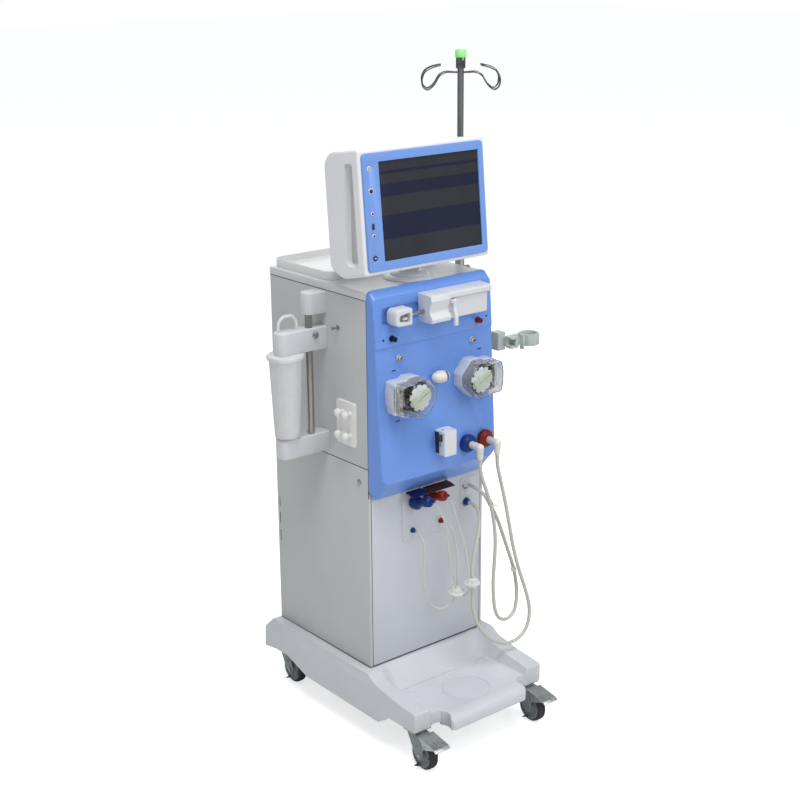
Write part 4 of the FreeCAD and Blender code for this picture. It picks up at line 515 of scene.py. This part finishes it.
def dressed(node, finish, edge):
    """A merged copy of a solid's mesh with its sharp edges rounded by edge metres."""
    mesh = frame["nodes"][node].data.copy()
    mesh.materials.clear()
    bm = bmesh.new()
    bm.from_mesh(mesh)
    bmesh.ops.remove_doubles(bm, verts=bm.verts, dist=1e-5)
    if edge:
        bmesh.ops.dissolve_limit(bm, angle_limit=math.radians(1.2), verts=bm.verts, edges=bm.edges)
        sharp = []
        for e in bm.edges:
            if len(e.link_faces) == 2 and e.calc_face_angle(0.0) > math.radians(38) and e.calc_length() > edge:
                sharp.append(e)
        bmesh.ops.bevel(bm, geom=sharp, offset=edge, offset_type="OFFSET", segments=2, profile=0.5,
                        affect="EDGES", clamp_overlap=True, material=-1)
    shade(bm)
    mesh.materials.append(FINISH[finish])
    zones = zones_of(node)
    for other, test in zones:
        mesh.materials.append(FINISH[other])
    bm.normal_update()
    for face in bm.faces:
        centre = face.calc_center_median() * 1000
        face.material_index = 0
        for index, (other, test) in enumerate(zones):
            if test(centre, face.normal):
                face.material_index = index + 1
                break
    bm.to_mesh(mesh)
    bm.free()
    obj = link(bpy.data.objects.new(node + "_skin", mesh))
    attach(obj, BODY_OF[node])
    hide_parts(node)
    return obj


SKINS = {}
for node in sorted(NODE_FINISH):
    SKINS[node] = dressed(node, *NODE_FINISH[node])


# Small pieces of their own: screws, nuts, printed dashes, dark vent pads of painted shade, ties

def finished(name, bm, finish, body):
    bmesh.ops.recalc_face_normals(bm, faces=bm.faces)
    shade(bm)
    mesh = bpy.data.meshes.new(name)
    bm.to_mesh(mesh)
    bm.free()
    mesh.materials.append(FINISH[finish])
    obj = link(bpy.data.objects.new(name, mesh))
    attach(obj, body)
    return obj


SURFACES = {}


def on_surface(node, start, toward):
    """Where a line from start (mm) meets a solid, and which way its surface faces."""
    if node not in SURFACES:
        bm = bmesh.new()
        bm.from_mesh(frame["nodes"][node].data)
        SURFACES[node] = BVHTree.FromBMesh(bm)
        bm.free()
    place, normal, index, far = SURFACES[node].ray_cast(Vector(start) / 1000, Vector(toward))
    return place, normal


def standing(place, normal, turn=0.0):
    """Matrix that sets a shape made along +Z on a place, its Z along the normal."""
    aim = Vector(normal).to_track_quat("Z", "Y").to_matrix().to_4x4()
    return Matrix.Translation(place) @ aim @ Matrix.Rotation(turn, 4, "Z")


def add_screw(bm, place, normal, radius, tall, turn=0.0):
    """Pan head with a round recess sunk in its top."""
    made = bmesh.ops.create_cone(bm, cap_ends=True, segments=20, radius1=radius, radius2=radius * 0.86, depth=tall)
    verts = made["verts"]
    bmesh.ops.translate(bm, verts=verts, vec=(0, 0, tall / 2 - 0.0002))
    top = max((f for v in verts for f in v.link_faces), key=lambda f: f.calc_center_median().z)
    inner = bmesh.ops.inset_region(bm, faces=[top], thickness=radius * 0.42, depth=0)
    sunk = bmesh.ops.extrude_discrete_faces(bm, faces=[top])["faces"]
    for face in sunk:
        bmesh.ops.translate(bm, verts=list(face.verts), vec=(0, 0, -tall * 0.5))
        verts = verts + list(face.verts)
    everything = set(verts)
    for face in inner["faces"]:
        everything.update(face.verts)
    bmesh.ops.transform(bm, matrix=standing(place, normal, turn), verts=list(everything))


def add_pad(bm, place, normal, wide, tall, thick, turn=0.0):
    """Thin raised pad with rounded corners."""
    made = bmesh.ops.create_cube(bm, size=1.0)
    verts = made["verts"]
    bmesh.ops.scale(bm, vec=(wide, tall, thick * 2), verts=verts)
    corners = []
    for v in verts:
        for e in v.link_edges:
            a, b = e.verts
            if abs(a.co.z - b.co.z) > thick and e not in corners:
                corners.append(e)
    round_by = min(wide, tall) * 0.35
    out = bmesh.ops.bevel(bm, geom=corners, offset=round_by, offset_type="OFFSET", segments=4, profile=0.5,
                          affect="EDGES", material=-1)
    verts = [v for v in verts if v.is_valid] + [v for v in out["verts"] if v.is_valid]
    bmesh.ops.transform(bm, matrix=standing(place, normal, turn), verts=list(set(verts)))


def fascia_marks():
    """Short printed dashes and dots beside the ports, as generic colour codes."""
    bm = bmesh.new()
    for x, z, wide, tall in ((-135, 982, 13, 3.2), (-130, 856, 13, 3.2), (142, 987, 13, 3.2), (-164, 1061, 6, 5.5),
                             (169, 1067, 6, 4)):
        place, normal = on_surface("front_fascia", (x, -400, z), (0, 1, 0))
        add_pad(bm, place, normal, wide / 1000, tall / 1000, 0.0002)
    finished("fascia_marks", bm, "deep", "machine")


def side_vent_shade_pads():
    """Three groups of short dark pads at the rear of the left lower sheet, painted shade in place of vent openings.
    """
    bm = bmesh.new()
    for z0, rows in ((543, 4), (499, 5), (449, 5)):
        for row in range(rows):
            place, normal = on_surface("side_panels", (-400, 301, z0 - row * 5.0), (1, 0, 0))
            add_pad(bm, place, normal, 0.0020, 0.014 - 0.001 * row, 0.0002)
    finished("side_vent_shade_pads", bm, "dark", "machine")


def pump_screws():
    """Two screws on the outer side of each pump housing."""
    bm = bmesh.new()
    for sign, level in PUMP_Z.items():
        for z in (33, -33):
            place, normal = on_surface("pump_housings", (sign * (PUMP_X + 52), -400, level + z), (0, 1, 0))
            if place:
                add_screw(bm, place, normal, 0.0026, 0.0012)
    finished("pump_screws", bm, "steel", "machine")


def rear_screws():
    """Screws down both edges of the rear sheet."""
    bm = bmesh.new()
    for x in (-176, 176):
        for z in (215, 460, 700, 940, 1140):
            place, normal = on_surface("rear_panel", (x, 600, z), (0, -1, 0))
            if place:
                add_screw(bm, place, normal, 0.0042, 0.0022, 0.4)
    finished("rear_screws", bm, "bright", "machine")


def axle_nuts(corner):
    """Hexagon nuts on both ends of a caster axle."""
    low, high = frame_box("caster_wheel_" + corner)
    y, z = (low[1] + high[1]) / 2, (low[2] + high[2]) / 2
    fork_low, fork_high = frame_box("caster_fork_" + corner)
    bm = bmesh.new()
    for side in (-1, 1):
        x = (low[0] - 0.0047) if side < 0 else (high[0] + 0.0047)
        made = bmesh.ops.create_cone(bm, cap_ends=True, segments=6, radius1=0.0062, radius2=0.0062, depth=0.0036)
        rim = [e for v in made["verts"] for e in v.link_edges]
        out = bmesh.ops.bevel(bm, geom=list(set(rim)), offset=0.0004, offset_type="OFFSET", segments=2, profile=0.5,
                              affect="EDGES", material=-1)
        verts = [v for v in made["verts"] if v.is_valid] + [v for v in out["verts"] if v.is_valid]
        bmesh.ops.transform(bm, matrix=standing(Vector((x + side * 0.0012, y, z)), (side, 0, 0)),
                            verts=list(set(verts)))
    finished("axle_nuts_" + corner, bm, "bright", BODY_OF["caster_fork_" + corner])


PLATE_Y = (FRONT - 2.5) / 1000     # face of the niche plate, metres


def port_seats():
    """Half rings in painted recess shade under the two niche ports."""
    bm = bmesh.new()
    for x, z in ((131, 618), (131, 570)):
        made = bmesh.ops.create_circle(bm, segments=12, radius=0.0016)
        verts = made["verts"]
        start = Vector((x / 1000 - 0.0125, PLATE_Y, z / 1000))
        bmesh.ops.transform(bm, matrix=Matrix.Translation(start), verts=verts)
        bmesh.ops.spin(bm, geom=list({e for v in verts for e in v.link_edges}), cent=(x / 1000, PLATE_Y, z / 1000),
                       axis=(0, 1, 0), dvec=(0, 0, 0), angle=-math.pi, steps=24)
    finished("port_seats", bm, "shade", "machine")


def add_block(bm, low, high):
    """Plain block between two corners in millimetres."""
    verts = bmesh.ops.create_cube(bm, size=1.0)["verts"]
    bmesh.ops.scale(bm, vec=[(b - a) / 1000 for a, b in zip(low, high)], verts=verts)
    bmesh.ops.translate(bm, vec=[(a + b) / 2000 for a, b in zip(low, high)], verts=verts)


def seam_shadow_strips():
    """Dark strips of painted shadow laid in the seams of the panels."""
    back = FRONT + 394
    flush = HALF_CABINET - 1.5
    bm = bmesh.new()
    add_block(bm, (-181, FRONT - 0.4, 195.1), (181, FRONT + 1.6, 197.0))
    strips = (((181.1, FRONT + 0.2, 196.5), (182.4, FRONT + 1.8, 650)),
              ((flush, FRONT + 2, 194.9), (190.3, back, 196.4)),
              ((flush, FRONT + 2, 730.3), (190.1, back, 731.7)),
              ((flush, FRONT + 2, 1154.7), (190.3, back, 1156.2)),
              ((flush, FRONT - 0.3, 655), (190.25, FRONT + 0.9, 1155)))
    for side in (-1, 1):
        for (near, y_low, z_low), (far, y_high, z_high) in strips:
            low, high = sorted((side * near, side * far))
            add_block(bm, (low, y_low, z_low), (high, y_high, z_high))
    finished("seam_shadow_strips", bm, "seam_shadow", "machine")


def hose_tie():
    """Strap round the two runs of the blue port's hose, with its tail, and a round clip lower down."""
    bm = bmesh.new()
    first, second = Vector((133, -178, 584)) / 1000, Vector((150, -152, 584)) / 1000
    away = (second - first).normalized()
    strap = bmesh.ops.create_circle(bm, segments=28, radius=0.0066)["verts"]
    for v in strap:
        v.co += second if v.co.dot(away) > 0 else first
    walls = bmesh.ops.extrude_edge_only(bm, edges=list({e for v in strap for e in v.link_edges}))
    raised = [v for v in walls["geom"] if isinstance(v, bmesh.types.BMVert)]
    bmesh.ops.translate(bm, vec=(0.0012, 0, 0.0045), verts=raised)
    bmesh.ops.solidify(bm, geom=bm.faces[:], thickness=0.0009)
    add_block(bm, (136, -188, 585.5), (151, -184, 587.5))
    tail = [v for v in bm.verts if v.co.y < -0.1835]
    bmesh.ops.rotate(bm, cent=(0.137, -0.186, 0.5865), matrix=Matrix.Rotation(math.radians(18), 3, "Y"), verts=tail)
    tie = finished("hose_tie", bm, "clip", BODY_OF["hose_blue"])
    bm = bmesh.new()
    made = bmesh.ops.create_cone(bm, cap_ends=True, segments=28, radius1=0.0075, radius2=0.0075, depth=0.012)
    rims = [e for e in bm.edges if e.calc_face_angle(0.0) > 1.0]
    bmesh.ops.bevel(bm, geom=rims, offset=0.0015, offset_type="OFFSET", segments=3, profile=0.5, affect="EDGES",
                    material=-1)
    place = Vector((0.2150, -0.1800, 0.3850))
    bmesh.ops.transform(bm, matrix=standing(place, (-0.63, -0.77, 0.2)), verts=bm.verts[:])
    clip = finished("hose_clip", bm, "clip", BODY_OF["hose_blue"])
    return [tie, clip]


seam_shadow_strips()
fascia_marks()
side_vent_shade_pads()
pump_screws()
rear_screws()
for corner in CORNERS:
    axle_nuts(corner)
port_seats()

for name, radius, finish in (("hose_blue", 0.00475, "hose"), ("hose_red", 0.00475, "hose"),
                             ("tube_blue", 0.002, "thin"), ("tube_red", 0.002, "thin")):
    piece = soft_line(name, radius)
    piece.data.materials.append(FINISH[finish])
    held = hose_tie() if name == "hose_blue" else [SKINS["hose_fittings"]]


# Studio: floor, white surround and soft lamps

def studio():
    bm = bmesh.new()
    bmesh.ops.create_grid(bm, x_segments=1, y_segments=1, size=30)
    mesh = bpy.data.meshes.new("floor")
    bm.to_mesh(mesh)
    bm.free()
    floor = link(bpy.data.objects.new("floor", mesh))
    mat = bpy.data.materials.new("floor_white")
    mat.use_nodes = True
    nodes, links = mat.node_tree.nodes, mat.node_tree.links
    nodes.clear()
    out = nodes.new("ShaderNodeOutputMaterial")
    pick = nodes.new("ShaderNodeMixShader")
    plain = nodes.new("ShaderNodeBsdfDiffuse")
    plain.inputs["Color"].default_value = (0.85, 0.85, 0.85, 1)
    glow = nodes.new("ShaderNodeEmission")
    glow.inputs["Color"].default_value = (1, 1, 1, 1)
    glow.inputs["Strength"].default_value = 0.64
    both = nodes.new("ShaderNodeAddShader")
    path = nodes.new("ShaderNodeLightPath")
    links.new(plain.outputs["BSDF"], both.inputs[0])
    links.new(glow.outputs["Emission"], both.inputs[1])
    links.new(path.outputs["Is Camera Ray"], pick.inputs["Fac"])
    links.new(plain.outputs["BSDF"], pick.inputs[1])
    links.new(both.outputs["Shader"], pick.inputs[2])
    links.new(pick.outputs["Shader"], out.inputs["Surface"])
    mesh.materials.append(mat)

    world = bpy.data.worlds.new("surround")
    world.use_nodes = True
    nodes, links = world.node_tree.nodes, world.node_tree.links
    nodes.clear()
    out = nodes.new("ShaderNodeOutputWorld")
    soft = nodes.new("ShaderNodeBackground")
    soft.inputs["Color"].default_value = (0.94, 0.96, 1.0, 1)
    soft.inputs["Strength"].default_value = 0.42
    white = nodes.new("ShaderNodeBackground")
    white.inputs["Color"].default_value = (1, 1, 1, 1)
    white.inputs["Strength"].default_value = 1.0
    pick = nodes.new("ShaderNodeMixShader")
    path = nodes.new("ShaderNodeLightPath")
    most = nodes.new("ShaderNodeMath")
    most.operation = "MAXIMUM"
    links.new(path.outputs["Is Camera Ray"], most.inputs[0])
    links.new(path.outputs["Is Transmission Ray"], most.inputs[1])
    links.new(most.outputs["Value"], pick.inputs["Fac"])
    links.new(soft.outputs["Background"], pick.inputs[1])
    links.new(white.outputs["Background"], pick.inputs[2])
    links.new(pick.outputs["Shader"], out.inputs["Surface"])
    bpy.context.scene.world = world

    for name, spot, aim, size, power in (
            ("key", (1.4, -3.4, 3.2), (0, 0, 0.9), 2.4, 56),
            ("side", (-3.4, -0.6, 2.6), (0, 0, 0.9), 2.2, 4),
            ("top", (-1.6, -2.0, 7.0), (0, 0, 0.9), 3.0, 225),
            ("back", (1.8, 3.0, 2.6), (0, 0, 1.0), 2.0, 20)):
        data = bpy.data.lights.new(name, "AREA")
        data.size = size
        data.energy = power
        lamp = link(bpy.data.objects.new(name, data))
        lamp.location = spot
        lamp.rotation_euler = (Vector(aim) - Vector(spot)).to_track_quat("-Z", "Y").to_euler()


studio()
